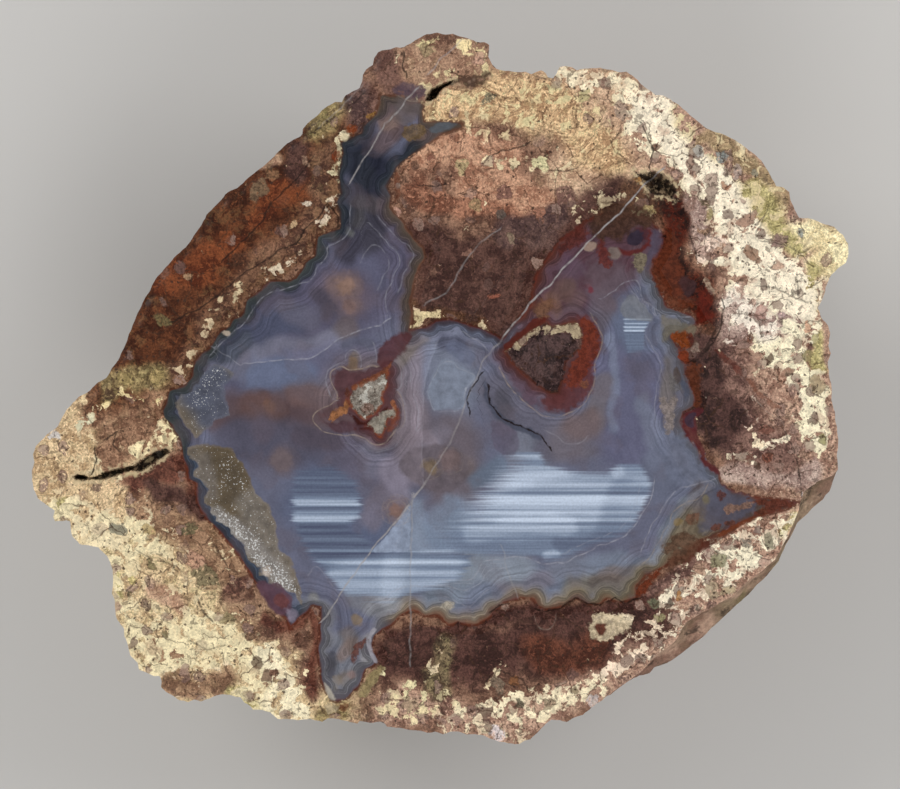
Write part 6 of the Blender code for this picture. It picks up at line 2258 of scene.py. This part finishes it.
def rind_material():
    """The weathered outside of the nodule, darkened in patches partly as painted shade."""
    paint = Paint("rind")
    place = paint.body_place()
    coarse = paint.noise(place, 5.5, detail=5.0, rough=0.65, flat=False)
    color = paint.mix(paint.ease(coarse, 0.40, 0.60), paint.tint("rock_low"),
                      paint.tint("rock_high"))
    # Darker brown patches all over the rind, partly weathering and partly painted shade
    weathered_and_shade = paint.noise(place, 14.0, detail=5.0, rough=0.65, flat=False)
    color = paint.mix(paint.ease(weathered_and_shade, 0.42, 0.60) * 0.75, color, shade("weathered_and_shade"))
    bent = paint.moved(place, paint.noise_color(place, 3.0, 3.0, flat=False), 3.0)
    away, pick, kind = paint.cells(bent, 4.0, flat=False)
    grains = paint.ease(away, 0.42, 0.30) * paint.ease(pick, 0.55, 0.60)
    grain_color = paint.mix(kind, shade("dark_grain"), shade("pale_grain"))
    color = paint.mix(grains * 0.5, color, grain_color)
    crags = paint.noise(bent, 5.0, detail=4.0, rough=0.7, flat=False)
    color = paint.mix(paint.ease(crags, 0.46, 0.38) * 0.7, color, shade("crag"))
    green = paint.ease(paint.noise(place, 9.0, detail=3.0, flat=False), 0.60, 0.70)
    color = paint.mix(green * 0.5, color, shade("green_rind"))
    grain = paint.noise(place, 0.7, detail=3.0, rough=0.7, flat=False)
    color = paint.lit(color, paint.share(grain, 0.2, 0.8) * 0.9 + 0.55)
    return paint.finish(color, 0.9, grain, 0.0004, shine=0.3)


def build_nodule():
    """The nodule as one skin with its four finishes."""
    skin = build_skin()
    mesh = skin.mesh
    depth = np.full(len(mesh.vertices), FAR_OUTSIDE_PX)
    depth[skin.on_face] = store_fields(skin)

    for material in (rind_material(), cut_rock_material(), agate_material(), border_material()):
        mesh.materials.append(material)
    finish = np.full(len(mesh.polygons), RIND, np.int32)
    corners = np.zeros(len(mesh.loops), int)
    mesh.loops.foreach_get("vertex_index", corners)
    triangles = corners[-3 * (len(mesh.polygons) - skin.face_starts):].reshape(-1, 3)
    least = depth[triangles].min(1)
    most = depth[triangles].max(1)
    face_finish = np.full(len(triangles), BORDER, np.int32)
    face_finish[most < -BORDER_REACH_PX] = CUT_ROCK
    face_finish[least > BORDER_REACH_PX] = AGATE
    finish[skin.face_starts:] = face_finish
    mesh.polygons.foreach_set("material_index", finish)
    mesh.shade_smooth()
    mesh.set_sharp_from_angle(angle=SHARP_ANGLE)
    nodule = bpy.data.objects.new("nodule_skin", mesh)
    bpy.context.scene.collection.objects.link(nodule)
    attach(nodule, "root")
    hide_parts(NODE)
    return nodule


def add_camera():
    """A long lens straight above, framed as the picture is."""
    camera = bpy.data.cameras.new("camera")
    camera.lens = LENS
    camera.sensor_width = SENSOR
    camera.dof.use_dof = False
    view_width = PICTURE_PX[0] * PIXEL
    distance = view_width * LENS / SENSOR
    middle_x, middle_y = OUTLINE_MIDDLE_PX
    holder = bpy.data.objects.new("camera", camera)
    holder.location = ((PICTURE_PX[0] / 2 - middle_x) * PIXEL,
                       (middle_y - PICTURE_PX[1] / 2) * PIXEL, DOME_DEPTH + distance)
    bpy.context.scene.collection.objects.link(holder)
    bpy.context.scene.camera = holder


def add_lamps():
    """Large soft lamps round the sides, too low to mirror in the face from above."""
    for index, (place, size, power) in enumerate(LAMPS):
        lamp = bpy.data.lights.new(f"lamp_{index}", "AREA")
        lamp.shape = "DISK"
        lamp.size = size
        lamp.energy = power
        holder = bpy.data.objects.new(f"lamp_{index}", lamp)
        holder.location = place
        aim = Vector((0.0, 0.0, DOME_DEPTH)) - place
        holder.rotation_euler = aim.to_track_quat("-Z", "Y").to_euler()
        bpy.context.scene.collection.objects.link(holder)


def add_sky():
    """Even light from all round, with a dark patch straight above."""
    world = bpy.data.worlds.new("sky")
    world.use_nodes = True
    tree = world.node_tree
    background = tree.nodes["Background"]
    place = tree.nodes.new("ShaderNodeTexCoord")
    parts = tree.nodes.new("ShaderNodeSeparateXYZ")
    fall = tree.nodes.new("ShaderNodeMapRange")
    fall.interpolation_type = "SMOOTHSTEP"
    fall.inputs["From Min"].default_value = SKY_DARK_PATCH[0]
    fall.inputs["From Max"].default_value = SKY_DARK_PATCH[1]
    fall.inputs["To Min"].default_value = SKY_STRENGTH
    fall.inputs["To Max"].default_value = 0.0
    tree.links.new(place.outputs["Generated"], parts.inputs[0])
    tree.links.new(parts.outputs[2], fall.inputs["Value"])
    tree.links.new(fall.outputs[0], background.inputs["Strength"])
    background.inputs["Color"].default_value = (1.0, 1.0, 1.0, 1.0)
    bpy.context.scene.world = world


def add_floor():
    """A wide pale floor under the nodule."""
    mesh = bpy.data.meshes.new("floor")
    half = FLOOR_HALF_WIDTH
    mesh.from_pydata([(-half, -half, 0.0), (half, -half, 0.0), (half, half, 0.0),
                      (-half, half, 0.0)], [], [(0, 1, 2, 3)])
    paint = Paint("floor")
    mesh.materials.append(paint.finish(shade("floor"), 0.9, shine=0.2))
    floor = bpy.data.objects.new("floor", mesh)
    bpy.context.scene.collection.objects.link(floor)


bpy.context.scene.view_settings.view_transform = "Standard"
build_nodule()
add_camera()
add_lamps()
add_sky()
add_floor()
